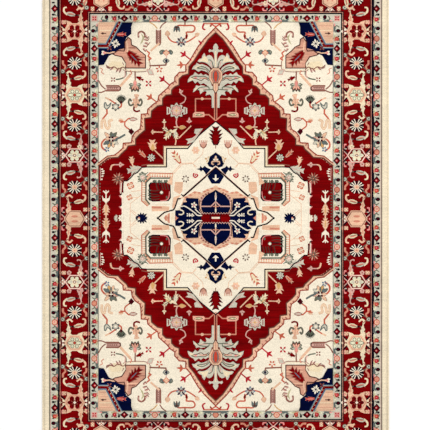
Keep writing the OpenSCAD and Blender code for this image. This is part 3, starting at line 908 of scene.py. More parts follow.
def lozenge_edge(at):
    """Hatching and dark and peach lines along the lozenge's stepped edge."""
    outer, inner = lozenge_chains()
    for a, b in zip(outer, outer[1:]):
        length = math.hypot(b[0] - a[0], b[1] - a[1])
        count = max(int(length / 3.6), 1)
        for k in range(count):
            t = (k + 0.5) / count
            x, y = a[0] + (b[0] - a[0]) * t, a[1] + (b[1] - a[1]) * t
            line(at, "brown" if k % 2 else "peach", [(x - 0.6, y - 1), (x - 3.4, y - 5)], 1.5)
    line(at, "peach", [(x + 2.4, y + 2.4) for x, y in inner], 3.2)
    line(at, "brown", [(x + 0.8, y + 0.8) for x, y in inner], 1.6)
    line(at, "umber", inner, 1.3)
    line(at, "madder", outer, 2)


def lotus(at, x, y):
    """A hanging bloom of grey-edged petals round a pink heart."""
    for angle, reach in ((-8, 13), (-172, 13), (-40, 15), (-140, 15), (-66, 18), (-114, 18)):
        petals(at, "sage", x, y, 1, reach, 6.6, angle)
        petals(at, "celadon", x, y, 1, reach - 3, 2.2, angle)
    for angle in (-118, -90, -62):
        petals(at, "umber", x, y + 1, 1, 16.5, 7, angle)
        petals(at, "shell", x, y + 1, 1, 13.4, 4, angle)
    leaf(at, "clay", (x, y + 9), (x, y - 7), 8)
    leaf(at, "pink", (x, y + 6), (x, y - 5), 4)


def test_tube(at):
    """A long mauve bottle with a brown outline and a ladder down its middle."""
    glass = [(-5, 0), (-5, 28), (-2.6, 33), (2.6, 33), (5, 28), (5, 0)]
    fill(at, "mauve", glass)
    line(at, "brown", glass, 2.6)
    line(at, "umber", [(-2, 2), (-2, 28)], 1.1)
    line(at, "umber", [(2, 2), (2, 28)], 1.1)
    for y in range(4, 28, 5):
        line(at, "brown", [(-2, y), (2, y)], 1.2)
    line(at, "umber", [(-4, 31.6), (0, 33.6), (4, 31.6)], 2)


def corner_bars(at):
    """Bars across the peach piece and the stripes that follow its slanted edge."""
    fill(at, "peach", [(235.5, 389.5), (200.5, 389.5), (220.5, 349), (235.5, 349)])
    for y, dye in ((352, "clay"), (361, "clay"), (373, "cream"), (382, "clay")):
        line(at, dye, [(232.4, y), (219 - (y - 352) * 0.45, y)], 1.2)
    for dye, off, width in (("celadon", -0.8, 1), ("blue", 1, 2), ("celadon", 2.6, 0.8), ("red", 5, 4.8),
                            ("celadon", 7.8, 1.1), ("blue", 9, 1.6)):
        line(at, dye, [(198 - 1.13 * off, 389), (220.5 - 0.6 * off, 346.5 - off),
                       (234.5, 346.5 - off)], width)
    fill(at, "umber", [(231, 367), (226, 369.4), (222, 367), (226, 364.6)])
    line(at, "umber", [(222.6, 367), (219.6, 367)], 1.6)
    for t in (0.08, 0.24, 0.4, 0.56, 0.72, 0.88):
        oval(at, "peach", 192.6 + 24.9 * t, 389 - 47.5 * t, 1.1, 1.1, 6)


def corner_blooms(at):
    """Serrated leaf, ivory star and small flowers on the navy ground."""
    comb(at, "salmon", (198, 364.5), (181, 365.5), 10.5, 3, 0.9)
    comb(at, "rose", (197.5, 364.5), (182, 365.5), 8.6, 3, 0.9)
    line(at, "shell", [(195.5, 365), (184.5, 365.5)], 1.2)
    petals(at, "ivory", 200.5, 346.5, 4, 9.4, 4.2, 12)
    petals(at, "ivory", 200.5, 346.5, 4, 7.4, 3, 57)
    leaf(at, "ivory", (228.5, 331.5), (220.5, 327), 5)
    leaf(at, "ivory", (229.5, 325), (220.5, 328), 5)
    leaf(at, "pink", (226.5, 328), (217.5, 328), 5)
    line(at, "peach", [(221, 328), (212, 327.5), (206, 329.5), (198.5, 329)], 2)
    petals(at, "brown", 213, 338, 4, 6, 3, 45)
    line(at, "red", [(215.5, 342.5), (212, 336.5)], 1.6)


def corner(at):
    """Peach corner piece with its bars and stripes, then the leaf and flowers on the navy."""
    for draw in (corner_bars, corner_blooms):
        draw(at)


def crescent(at):
    """Cream crescent beside the scroll, fringed with small brown curls."""
    fill(at, "olive", [(149.5, 367.5), (142.5, 359.5), (146, 349.5), (152, 343.5), (146.5, 357.5)])
    curve(at, "brown", [(154.5, 359.5), (154.5, 367.5), (148.5, 370.5), (142.5, 366.5), (141.5, 359.5)], 3)
    curve(at, "mauve", [(154.5, 361.5), (154, 366), (148.5, 369.5)], 1.2)
    curls = (((141.5, 363.5), (136, 357.5)), ((143.5, 356), (135.5, 353.5)),
             ((142, 349.5), (134, 345.5)), ((145.5, 343.5), (138, 340.5)),
             ((145.5, 337.5), (140, 331.5)))
    for (ax, ay), (bx, by) in curls:
        leaf(at, "mauve", (ax, ay), (bx, by), 4.4)
        line(at, "brown", [(ax, ay - 2), (bx + 1, by - 1), (bx - 2, by + 3)], 1.4)


def scroll_body(at):
    """The outlined scroll, its bars and the serrated leaf across it."""
    shape = [(182, 349.5), (175.5, 359), (169.5, 355), (168.5, 344), (159, 339.5), (151.5, 331.5),
             (140.5, 323), (140.5, 297.5), (180.5, 297.5), (180.5, 307.5), (188, 320), (201.5, 323),
             (206, 325.5), (196, 332.5), (183.5, 331.5), (181.5, 337.5)]
    fill(at, "clay", shape)
    line(at, "umber", closed(shape), 1.8)
    curve(at, "camel", [(137, 322.5), (137, 295), (181, 294.5), (182, 306.5), (193.5, 319)], 2.2)
    curve(at, "brown", [(134.5, 321.5), (134.5, 292.5), (182, 292), (184.5, 305), (194.5, 316.5)], 1.3)
    for y, dye in ((338, "brown"), (334, "peach"), (327, "shell"), (319, "brown"), (311, "peach"),
                   (304, "shell")):
        line(at, dye, [(142 + max(0, y - 323) * 1.3, y), (176 - max(0, 323 - y) * 0.2, y)], 1.3)
    comb(at, "brown", (176.5, 331.5), (151, 304.5), 25, 5, 0.9)
    comb(at, "red", (175.5, 330), (152, 306), 20, 5, 0.9)
    line(at, "brown", [(170, 324.5), (157.5, 311.5)], 2)
    line(at, "blue", [(167.5, 321.5), (159.5, 313.5)], 1.2)
    curve(at, "peach", [(178.5, 351.5), (176, 337.5), (177, 330)], 2)


def scroll_crescent(at):
    """The cream piece and the crescent that lie against the scroll."""
    fill(at, "camel", [(208.5, 323), (190.5, 319), (186, 305), (184.5, 295), (193.5, 292.5),
                       (202, 302.5), (216, 302.5), (213.5, 317.5)])
    crescent(at)
    line(at, "rust", [(137.5, 331.5), (132.5, 327.5), (135.5, 321.5), (129.5, 316.5), (134, 313.5)], 2.4)


def scroll_border(at):
    """The fringed cream border under the scroll and its tendrils."""
    fill(at, "cream", [(215.5, 301.5), (207.5, 311.5), (189.5, 309.5), (181.5, 299.5), (191.5, 293.5),
                       (205.5, 293.5)])
    fringe = (((219.5, 300.5), (212, 296)), ((211.5, 293.5), (204, 299.5)),
              ((199.5, 289.5), (194, 297.5)), ((193.5, 288), (188.5, 298)))
    for a, b in fringe:
        leaf(at, "mauve", a, b, 4.4)
        line(at, "umber", [a, b], 1)
    curve(at, "brown", [(219.5, 303.5), (211.5, 298), (203.5, 300), (195.5, 295.5), (185.5, 299.5),
                        (179.5, 294)], 1.6)
    curve(at, "salmon", [(232, 297.5), (227, 295), (228.5, 289), (224, 285.5)], 1.6)
    curve(at, "mauve", [(182, 292.5), (181, 282.5), (184.5, 279)], 1.8)
    curve(at, "salmon", [(171, 292.5), (168.5, 286.5), (172, 284.5)], 2)
    tag = [(137.5, 294.5), (128, 293.5), (124.5, 284), (133.5, 284.5)]
    fill(at, "celadon", tag)
    line(at, "mauve", closed(tag), 1.5)


def scroll(at):
    """Clay scroll with a serrated red leaf, its crescent and its cream border."""
    for draw in (scroll_body, scroll_crescent, scroll_border):
        draw(at)


def twig(at, dye, root, palm):
    """A stem with a three-fingered leaf at its end."""
    line(at, dye, [root, palm], 2.2)
    heading = math.atan2(palm[1] - root[1], palm[0] - root[0])
    oval(at, dye, *palm, 3, 2.8, 6)
    for turn, reach in ((-1.15, 9), (-0.1, 11), (1, 9)):
        tip = (palm[0] + reach * math.cos(heading + turn), palm[1] + reach * math.sin(heading + turn))
        leaf(at, dye, palm, tip, 4.6, 0.35)


def bottles(at):
    """Two ladder-like bottles, one on end and one on its side, with their stems."""
    test_tube(lambda p: at((114.5 + p[0] * 0.84, 373.5 - p[1] * 0.9)))
    curve(at, "brown", [(111.5, 377), (107, 384), (99.5, 389.5)], 1.9)
    curve(at, "ochre", [(117.5, 377), (123.5, 384), (132, 389)], 1.9)
    line(at, "peach", [(113.5, 346.5), (129.5, 332.5)], 3.4)
    test_tube(lambda p: at((219 - p[1] * 0.85, 257 + p[0])))
    curve(at, "brown", [(221, 255.5), (228.5, 262), (234.5, 272.5)], 2.1)
    curve(at, "brown", [(218.5, 253), (228.5, 249), (234.5, 249)], 2.1)
    line(at, "peach", [(190.5, 262), (172, 282.5)], 4.5)


def bell_vine(at):
    """Red vine with a slate bell."""
    line(at, "brown", [(61.5, 389.5), (61.5, 382.5)], 2.3)
    curve(at, "rust", [(77, 381.5), (72, 383), (61.5, 382.5), (46, 382.5), (41.5, 377), (46, 370),
                         (58.5, 369), (57, 361.5), (61.5, 356.5)], 2.6)
    for x in (-6, 0, 6):
        leaf(at, "slate", (78 + x * 0.3, 383), (78 + x, 369), 5.4)
    line(at, "umber", [(78, 381), (78, 370)], 1.8)
    line(at, "umber", [(74, 379), (82, 379)], 1.8)
    leaf(at, "red", (59, 365.5), (58, 354.5), 4.4)


def star_vine(at):
    """Blue star on a red vine that ends in two leaves."""
    curve(at, "rust", [(97, 365), (93.5, 356.5), (83.5, 349.5), (61, 349), (46, 356.5), (37, 364)], 2.4)
    for dye, grow in (("clay", 2.6), ("peach", 0)):
        leaf(at, dye, (95.5, 360.5), (97.5, 373), 8.6 + grow)
        leaf(at, dye, (42, 361.5), (32, 367.5), 6 + grow)
    petals(at, "blue", 69, 350, 8, 10.5, 5, 0)
    petals(at, "celadon", 69, 350, 4, 8, 3, 0)
    petals(at, "umber", 69, 350, 4, 10.5, 3.4, 45)
    petals(at, "navy", 69, 350, 3, 4, 3, 30)


def anchor_flower(at):
    """Anchor-shaped bloom over a slate eye, on a brown stem."""
    curve(at, "sage", [(109.5, 325), (111.5, 330), (106, 333), (97, 329), (91, 333), (86.5, 329),
                       (89.5, 325)], 2.3)
    for sx in (-1, 1):
        leaf(at, "slate", (99 + sx * 5, 332), (99 + sx * 11, 324), 6)
    diamond(at, "rust", 99, 328, 7, 7)
    diamond(at, "peach", 99, 328, 5.4, 5.4)
    line(at, "mauve", [(99, 322.5), (99, 316.5)], 1.9)
    leaf(at, "slate", (106.5, 312), (92, 312), 11, 0.5)
    leaf(at, "celadon", (104.5, 312), (94, 312), 6, 0.5)
    diamond(at, "navy", 99, 312, 3.4, 3.4)
    line(at, "brown", [(99, 307.5), (100, 303.5), (133.5, 302)], 2.5)
    petals(at, "rust", 113, 295, 5, 7.5, 4, 90)
    petals(at, "ivory", 113, 295, 3, 3, 2, 90)


def edge_twigs(at):
    """Twigs that root in the edge of the lozenge, and a small rose bloom."""
    for root, palm, dye in (((49.5, 313.5), (62.5, 324), "rose"), ((59.5, 304), (67.5, 304), "rust"),
                            ((92, 263), (105, 274), "rose"), ((119.5, 230.5), (130, 238), "rust")):
        twig(at, dye, root, palm)
    petals(at, "rose", 134.5, 266.5, 4, 8, 4.2, 45)
    oval(at, "sage", 134.5, 266.5, 1.4, 1.4, 6)


def hanging_palmette(at):
    """Grey and pink palmette under its stem."""
    line(at, "brown", [(161.5, 291.5), (161, 270)], 2.3)
    lotus(at, 161.5, 265.5)
    comb(at, "red", (159, 280), (145.5, 273.5), 9, 3, 0.9)
    leaf(at, "red", (153.5, 272), (150.5, 282.5), 4)


def curled_leaf(at):
    """Serrated peach leaf between two sage curls."""
    for dye, grow in (("rust", 2.4), ("peach", 0)):
        comb(at, dye, (161, 217.5), (158, 246), 13 + grow, 3, 0.3)
        leaf(at, dye, (160, 225.5), (152, 231.5), 6 + grow)
        leaf(at, dye, (160, 225.5), (168.5, 227.5), 6 + grow)
    line(at, "clay", [(160, 221.5), (158.5, 240)], 1.5)
    for s in (1, -1):
        for dye, width in (("umber", 3), ("sage", 1.9)):
            curve(at, dye, [(160.6 - 4 * s, 225), (161 - 10 * s, 222.6), (161 - 13.4 * s, 229),
                            (161 - 11 * s, 235), (161 - 8 * s, 231.6)], width)
    curve(at, "red", [(163.5, 219.5), (163.5, 213.5), (158.5, 210.5), (152.5, 212)], 3)


def black_fan(at):
    """Black fan and a slate flower beside it."""
    fill(at, "black", [(189.5, 224.5), (199.5, 236), (196, 241.5), (189.5, 244), (182, 241.5), (179, 236)])
    for tip in ((197.5, 237.5), (194, 240), (189.5, 242), (185, 240), (181, 237.5)):
        line(at, "sage", [(189.5, 228), tip], 1.5)
    line(at, "celadon", [(198, 236.5), (195, 240.5), (189.5, 242.5), (183.5, 240.5), (180, 236.5)], 1.2)
    leaf(at, "maroon", (189.5, 224), (189.5, 233.5), 5)
    curve(at, "rust", [(188.5, 225.5), (190, 220), (195.5, 218)], 2.8)
    petals(at, "umber", 200.5, 220, 6, 9, 5.6, 90)
    petals(at, "slate", 200.5, 220, 6, 8, 4.2, 90)
    petals(at, "celadon", 200.5, 220, 6, 5.4, 2.4, 90)
    curve(at, "peach", [(220.5, 238), (212, 234)], 2.8)
    curve(at, "rust", [(212, 234), (201.5, 227)], 2.4)


def open_bud(at):
    """Open celadon cup on a rust vine."""
    cup = [(218.5, 214), (223, 219.5), (223, 227.5), (220.5, 228.5), (217.5, 222), (213.5, 223.5),
           (209.5, 228), (212, 220.5)]
    fill(at, "celadon", cup)
    line(at, "slate", closed(cup), 1.7)
    line(at, "rust", [(218, 214), (217.5, 206.5), (225.5, 196.5), (227.5, 192.5)], 2.8)


def squiggles(at):
    """Peach squiggle and a spray of peach leaves."""
    for dye, width in (("peach", 4.2), ("cream", 1.2)):
        curve(at, dye, [(228, 177.5), (228, 190), (223, 193), (220.5, 181.5), (216.5, 176),
                        (212.5, 181.5), (213.5, 190.5), (207.5, 193.5)], width)
    for tip in ((195.5, 196), (191.5, 196.5), (194.5, 190), (189.5, 189.5)):
        leaf(at, "peach", (184.5, 191.5), tip, 4)
    line(at, "rust", [(194, 192), (186.5, 191.5)], 1.6)


def lens_vine(at):
    """Rust vine with a mauve lens and a dark diamond."""
    line(at, "rust", [(190.5, 189), (181.5, 190), (174.5, 196.5), (171, 196.5)], 2.3)
    curve(at, "rust", [(181.5, 190), (181.5, 181.5), (172, 174)], 2.3)
    leaf(at, "brown", (174, 195), (156, 195), 8.6, 0.5)
    leaf(at, "mauve", (172.5, 195), (158, 195), 6, 0.5)
    line(at, "celadon", [(170.5, 195), (160, 195)], 1.6)
    diamond(at, "maroon", 169, 170, 6, 7)
    line(at, "maroon", [(173.5, 173.5), (168.5, 174.5)], 2)


def broken_flower(at):
    """Large flower of uneven petals, with the small blooms round it."""
    for a, dye, reach in ((8, "peach", 12), (48, "peach", 19), (92, "sage", 15), (128, "sage", 18),
                          (168, "shell", 17), (212, "celadon", 17), (252, "peach", 17),
                          (288, "ochre", 18), (326, "slate", 18)):
        petals(at, "umber", 209.5, 154.5, 1, reach + 0.8, 8, a)
        petals(at, dye, 209.5, 154.5, 1, reach, 6.4, a)
    for a in (110, 190, 232, 270, 306):
        petals(at, "slate", 209.5, 154.5, 1, 14, 4.4, a)
    petals(at, "maroon", 209.5, 155.5, 4, 7, 5, 45)
    oval(at, "cream", 204, 147.5, 2.4, 2)
    line(at, "slate", [(199.5, 155.5), (192, 158), (182, 164)], 3.4)
    curve(at, "rust", [(222.5, 154.5), (228, 147.5), (227.5, 138.5), (220.5, 132.5)], 3)
    petals(at, "blue", 218, 134.5, 5, 6, 3.6)
    curve(at, "sage", [(179.5, 291.5), (180.5, 282.5), (188.5, 276.5), (199.5, 274.5)], 2.3)
    petals(at, "red", 205.5, 274.5, 4, 6, 3, 45)
    petals(at, "pink", 193.5, 295, 4, 5, 3, 45)


def ivory_flowers(at):
    """Scattered vines, blooms and twigs of one quarter of the ivory field."""
    for draw in (bottles, bell_vine, star_vine, anchor_flower, edge_twigs, hanging_palmette,
                 curled_leaf, black_fan, open_bud, squiggles, lens_vine, broken_flower):
        draw(at)


def whole_field():
    """Every motif inside the borders, mirrored from quarters, halves or the middle."""
    quarter = (lozenge_edge, ivory_flowers, corner, scroll, apex_scrolls, red_lozenge_flowers,
               side_panel)
    medallion_quarter = (inner_medallion, medallion_lines, square_flower, small_medallion_flowers,
                         upper_medallion_flowers, medallion_white_leaf, navy_flower, navy_core,
                         medallion_nub)
    for at in mirrors():
        for draw in quarter:
            draw(at)
    drifted = place(0, -MEDALLION_DRIFT)
    for at in mirrors(both=False):
        tree_palmette(at)
    for at in mirrors(drifted):
        for draw in medallion_quarter:
            draw(at)
    for at in mirrors(drifted, both=False):
        navy_shield(at)
        navy_axis(at)
    centre_bar(drifted)


# ---------------------------------------------------------------- the pile, zone by zone
def top_outlines(node):
    """Outer outlines of a pile node's top face, in knots, counter-clockwise."""
    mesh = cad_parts[node].data
    key = [(round(v.co.x / KNOT, 2), round(v.co.y / KNOT, 2), v.co.z) for v in mesh.vertices]
    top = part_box(node)[1].z - 1e-5
    ends = {}
    edges = set()
    for face in mesh.polygons:
        ring = [key[i] for i in face.vertices]
        if min(p[2] for p in ring) > top:
            flat = [p[:2] for p in ring]
            edges |= set(zip(flat, flat[1:] + flat[:1]))
    for a, b in edges:
        if (b, a) not in edges:
            ends.setdefault(a, []).append(b)
    loops = []
    while ends:
        start = next(iter(ends))
        loop = [start]
        while True:
            after = ends[loop[-1]].pop()
            if not ends[loop[-1]]:
                del ends[loop[-1]]
            if after == start:
                break
            loop.append(after)
        if area(loop) > 0:
            loops.append(loop)
    return loops


def area(loop):
    return sum(a[0] * b[1] - b[0] * a[1] for a, b in zip(loop, loop[1:] + loop[:1])) / 2


def zones_by_size():
    """Every zone of the pile as (node, outline), the largest first."""
    zones = [(node, loop) for node in PILE_NODES for loop in top_outlines(node)]
    return sorted(zones, key=lambda z: -area(z[1]))


def zone_dye(node):
    return next(dye for start, dye in ZONE_DYES if node.startswith(start))


def lie_of_pile(x, y):
    """Height of the pile's surface over its mean, in metres, at a place in knots."""
    p = Vector((x * KNOT * 4, y * KNOT * 4, 1.7))
    return LIE[0] * noise.noise(p) + LIE[1] * noise.noise(p * 4.3)


def cut_up(rings, step):
    """Cuts the whole rug into triangles along rings of (dye, outline), later rings on top.

    Gives the points, and for each triangle its corners and the rings that it lies in."""
    points, faces = [], []
    for _, ring in rings:
        ring = ring if area(ring) > 0 else ring[::-1]
        faces.append(list(range(len(points), len(points) + len(ring))))
        points += [Vector(p) for p in ring]
    rng = random.Random(7)
    across, along = (int(half / KNOT / step) for half in (PILE_HALF_W, PILE_HALF_L))
    for i in range(-across, across + 1):
        for j in range(-along, along + 1):
            points.append(Vector(((i + rng.uniform(-0.3, 0.3)) * step,
                                  (j + rng.uniform(-0.3, 0.3)) * step)))
    spots, _, cells, _, _, owners = delaunay_2d_cdt(points, [], faces, 1, 1e-3, True)
    return [tuple(s) for s in spots], [(c, o) for c, o in zip(cells, owners) if o]


def woven_plan(zones):
    """The pile's triangles: for each zone, its cells and their dyes."""
    rings = [(zone_dye(node), loop) for node, loop in zones] + SHAPES
    spots, cells = cut_up(rings, PILE_STEP)
    plan = {}
    dark = set()
    for cell, owner in cells:
        inside = [o for o in owner if o < len(zones)]
        if not inside:
            continue
        dye = rings[max(owner)][0]
        plan.setdefault(zones[max(inside)][0], []).append((cell, dye))
        if dye in DARK:
            dark |= set(cell)
    return spots, plan, dark


def pile_piece(node, cells, spots, dark, wool):
    """One zone of the pile as a closed solid: its knotted top, its cut sides and its base."""
    used = sorted({i for cell, _ in cells for i in cell})
    local = {v: i for i, v in enumerate(used)}
    count = len(used)
    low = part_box(node)[0].z
    top, base = [], []
    for v in used:
        x, y = spots[v]
        z = PILE_TOP + lie_of_pile(x, y) - (WORN if v in dark else 0)
        top.append((x * KNOT, y * KNOT, z))
        base.append((x * KNOT, y * KNOT, low))
    dyes = sorted({dye for _, dye in cells})
    faces, slots, owner = [], [], {}
    for cell, dye in cells:
        ring = [local[v] for v in cell]
        faces.append(ring)
        slots.append(dyes.index(dye))
        for edge in zip(ring, ring[1:] + ring[:1]):
            owner[edge] = slots[-1]
    tops = len(faces)
    faces += [[i + count for i in reversed(ring)] for ring in faces]
    slots += slots
    for (a, b), slot in owner.items():
        if (b, a) not in owner:
            faces.append([b, a, a + count, b + count])
            slots.append(slot)
    mesh = bpy.data.meshes.new(node + "_pile")
    mesh.from_pydata(top + base, [], faces)
    for dye in dyes:
        mesh.materials.append(wool[dye])
    mesh.polygons.foreach_set("material_index", slots)
    mesh.polygons.foreach_set("use_smooth", [i < tops for i in range(len(faces))])
    mesh.update()
    return mesh


def piece(name, mesh, node):
    """A shown piece that takes the place of one CAD node, which it hides."""
    obj = bpy.data.objects.new(name, mesh)
    bpy.context.collection.objects.link(obj)
    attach(obj, "root")
    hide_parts(node)
    return obj


# ---------------------------------------------------------------- foundation, edges and ends
def mesh_of(name, points, faces, materials, slots=None):
    mesh = bpy.data.meshes.new(name)
    mesh.from_pydata(points, [], faces)
    for material in materials:
        mesh.materials.append(material)
    if slots:
        mesh.polygons.foreach_set("material_index", slots)
    mesh.polygons.foreach_set("use_smooth", [True] * len(faces))
    mesh.update()
    return mesh


def used_only(points, faces):
    """Leaves out the points that no face stands on."""
    kept = sorted({i for face in faces for i in face})
    place_of = {old: k for k, old in enumerate(kept)}
    return [points[i] for i in kept], [[place_of[i] for i in face] for face in faces]


def rim_of(faces):
    """The points along the rim of a surface, in order, and the point after each."""
    edges = {e for ring in faces for e in zip(ring, ring[1:] + ring[:1])}
    after = {a: b for a, b in edges if (b, a) not in edges}
    loop = [next(iter(after))]
    while after[loop[-1]] != loop[0]:
        loop.append(after[loop[-1]])
    return loop, after


def cover(points, rim):
    """Triangles over a level rim, with free points between; new points go on the list."""
    flat = [Vector(points[v][:2]) for v in rim]
    across, along = (int(half / TOP_STEP) for half in (PILE_HALF_W, PILE_HALF_L))
    for i in range(-across, across + 1):
        for j in range(-along, along + 1):
            flat.append(Vector((i * TOP_STEP, j * TOP_STEP)))
    outline = [list(range(len(rim)))]
    spots, _, triangles, origins, _, _ = delaunay_2d_cdt(flat, [], outline, 1, 1e-6, True)
    where = []
    for spot, origin in zip(spots, origins):
        old = [o for o in origin if o < len(rim)]
        where.append(rim[old[0]] if old else len(points))
        if not old:
            points.append((spot.x, spot.y, GROUND_TOP))
    return [[where[i] for i in triangle] for triangle in triangles]


def foundation(zones):
    """The woven cotton ground, whose back shows the knots of the larger shapes."""
    large = [(dye, ring) for dye, ring in SHAPES if abs(area(ring)) > BACK_SHAPE]
    rings = [(zone_dye(node), loop) for node, loop in zones] + large
    spots, cells = cut_up(rings, BACK_STEP)
    points, faces, dyes = [], [], []
    for x, y in spots:
        sag = SAG + SAG * noise.noise(Vector((x * KNOT * 9, y * KNOT * 9, 5)))
        points.append((x * KNOT, y * KNOT, sag))
    for cell, owner in cells:
        faces.append(list(reversed(cell)))
        dyes.append(rings[max(owner)][0])
    loop, after = rim_of(faces)
    above = {v: len(points) + k for k, v in enumerate(loop)}
    points += [(points[v][0], points[v][1], GROUND_TOP) for v in loop]
    faces += [[after[v], v, above[v], above[after[v]]] for v in loop]
    faces += cover(points, [above[v] for v in reversed(loop)])
    names = sorted(set(dyes))
    materials = [back_material(dye) for dye in names] + [cotton]
    slots = [names.index(dye) for dye in dyes]
    slots += [len(names)] * (len(faces) - len(slots))
    return mesh_of("knotted_foundation", *used_only(points, faces), materials, slots)


def add_tube(points, faces, path, sides, turn=0.0):
    """Adds a closed tube to the lists; path holds (middle, across, up, radius) for each ring."""
    base = len(points)
    for middle, across, up, r in path:
        for k in range(sides):
            a = 2 * math.pi * k / sides + turn
            points.append(middle + across * (r * math.cos(a)) + up * (r * math.sin(a)))
    for ring in range(len(path) - 1):
        for k in range(sides):
            a = base + ring * sides + k
            b = base + ring * sides + (k + 1) % sides
            faces.append((a, b, b + sides, a + sides))
    last = base + (len(path) - 1) * sides
    faces.append(tuple(base + k for k in reversed(range(sides))))
    faces.append(tuple(last + k for k in range(sides)))


def overcast(node):
    """Camel wool wound round the edge cord: slanting ribs outside, flat against the weave."""
    low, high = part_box(node)
    core_low, core_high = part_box(node.replace("wrap", "core"))
    middle = (core_low + core_high) / 2
    sign = 1 if middle.x > 0 else -1
    outer = (high.z - low.z) / 2
    inner = (core_high.z - core_low.z) / 2
    chord = abs(middle.x) - PILE_HALF_W
    corner = math.acos(chord / outer)
    arc = 13
    rings = int((high.y - low.y) / WRAP_PITCH * 4)
    points, faces = [], []

    def ring(y, hole):
        """Points round the D-shaped section, from the weave's lower corner round the outside."""
        for k in range(arc):
            a = -(math.pi - corner) + 2 * (math.pi - corner) * k / (arc - 1)
            if hole:
                r = inner
            else:
                swell = 0.5 + 0.5 * math.cos(2 * math.pi * y / WRAP_PITCH + a)
                at_weave = min(1, min(k, arc - 1 - k) / 2)
                r = outer * (1 - WRAP_RIB * at_weave * (1 - swell))
            points.append((middle.x + sign * r * math.cos(a), y, middle.z + r * math.sin(a)))

    def join(a, b):
        """Faces between two rings that start at a and b."""
        for k in range(arc):
            n = (k + 1) % arc
            quad = (a + k, a + n, b + n, b + k)
            faces.append(quad if sign < 0 else quad[::-1])

    for i in range(rings + 1):
        ring(low.y + (high.y - low.y) * i / rings, False)
    holes = 2
    ring(high.y, True)
    ring(low.y, True)
    for i in range(rings + holes):
        join(i * arc, (i + 1) * arc)
    join((rings + holes) * arc, 0)
    return mesh_of(node + "_ribs", points, faces, [wool["camel"]])


def flat_weave(node):
    """Weft-faced cotton: wefts that pass over every other warp, in staggered rows."""
    low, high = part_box(node)
    per_rib, per_row = 4, 4
    columns = int((high.x - low.x) / FLAT_RIB) * per_rib
    rows = int((high.y - low.y) / FLAT_ROW) * per_row
    thick = high.z - low.z
    points, faces = [], []
    for side in (1, 0):
        for j in range(rows + 1):
            for i in range(columns + 1):
                x = low.x + (high.x - low.x) * i / columns
                y = low.y + (high.y - low.y) * j / rows
                rib, row = i / per_rib, j / per_row
                over = abs(math.sin(math.pi * rib))
                thread = 0.5 - 0.5 * math.cos(2 * math.pi * (row + 0.5 * (int(rib) % 2)))
                hollow = thick * (0.26 * (1 - over) + 0.2 * (1 - thread))
                points.append((x, y, high.z - hollow if side else low.z + hollow * 0.5))
    wide = columns + 1
    under = wide * (rows + 1)
    for j in range(rows):
        for i in range(columns):
            a = j * wide + i
            faces.append((a, a + 1, a + 1 + wide, a + wide))
            faces.append((under + a + wide, under + a + 1 + wide, under + a + 1, under + a))
    for i in range(columns):
        far = rows * wide + i
        faces.append((i + 1, i, under + i, under + i + 1))
        faces.append((far, far + 1, under + far + 1, under + far))
    for j in range(rows):
        a, b = j * wide, j * wide + columns
        faces.append((a, a + wide, under + a + wide, under + a))
        faces.append((b + wide, b, under + b, under + b + wide))
    return mesh_of(node + "_cloth", points, faces, [cotton])


def twined_cord(node):
    """Two camel strands twisted round each other along the last row of knots."""
    low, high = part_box(node)
    y = (low.y + high.y) / 2
    reach = (high.y - low.y) / 4
    z = low.z + 2 * reach * 0.85
    steps = int((high.x - low.x) / TWIST_PITCH * 8)
    points, faces = [], []
    for strand in range(2):
        path = []
        for i in range(steps + 1):
            x = low.x + (high.x - low.x) * i / steps
            a = 2 * math.pi * x / TWIST_PITCH + strand * math.pi
            middle = Vector((x, y + reach * math.cos(a), z + 0.8 * reach * math.sin(a)))
            path.append((middle, Vector((0, 1, 0)), Vector((0, 0, 0.85)), reach * 1.05))
        add_tube(points, faces, path, 6)
    return mesh_of(node + "_strands", points, faces, [wool["camel"]])


def warp_tassels(node):
    """Bundles of plied warp ends, each knotted near the flat weave and loose beyond."""
    low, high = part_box(node)
    sign = 1 if low.y > 0 else -1
    root, tip = (low.y, high.y) if sign > 0 else (high.y, low.y)
    length = abs(tip - root)
    knot_r = (high.z - low.z) / 2
    pitch = 2 * (PILE_HALF_W - 2 * knot_r) / (TASSELS - 1)
    rng = random.Random(11 + sign)
    points, faces = [], []
    for i in range(TASSELS):
        x0 = (i - (TASSELS - 1) / 2) * pitch
        swing = math.radians(2 * math.sin(math.radians(137 * i + 40 * sign)))
        add_knot(points, faces, x0, root, sign, knot_r, rng)
        for strand in range(STRANDS):
            add_strand(points, faces, (x0, root, sign, length, swing), strand, knot_r, rng)
    return mesh_of(node + "_strands", points, faces, [cotton])


def add_knot(points, faces, x0, root, sign, r, rng):
    """Two turns of yarn tied round the bundle."""
    lean = rng.uniform(-0.25, 0.25)
    for turn in range(2):
        path = []
        y = root + sign * r * (1.05 + 0.6 * turn)
        for k in range(13):
            a = 2 * math.pi * k / 12
            out = Vector((math.cos(a), 0, math.sin(a)))
            slant = sign * r * (0.3 * math.cos(a) + lean * math.sin(a))
            middle = Vector((x0, y + slant, r)) + out * (r * 0.62)
            path.append((middle, out, Vector((0, -1, 0)), r * 0.36))
        middle, *rest = path[0]
        path[-1] = (middle + YARN_OVERLAP, *rest)
        add_tube(points, faces, path, 6)


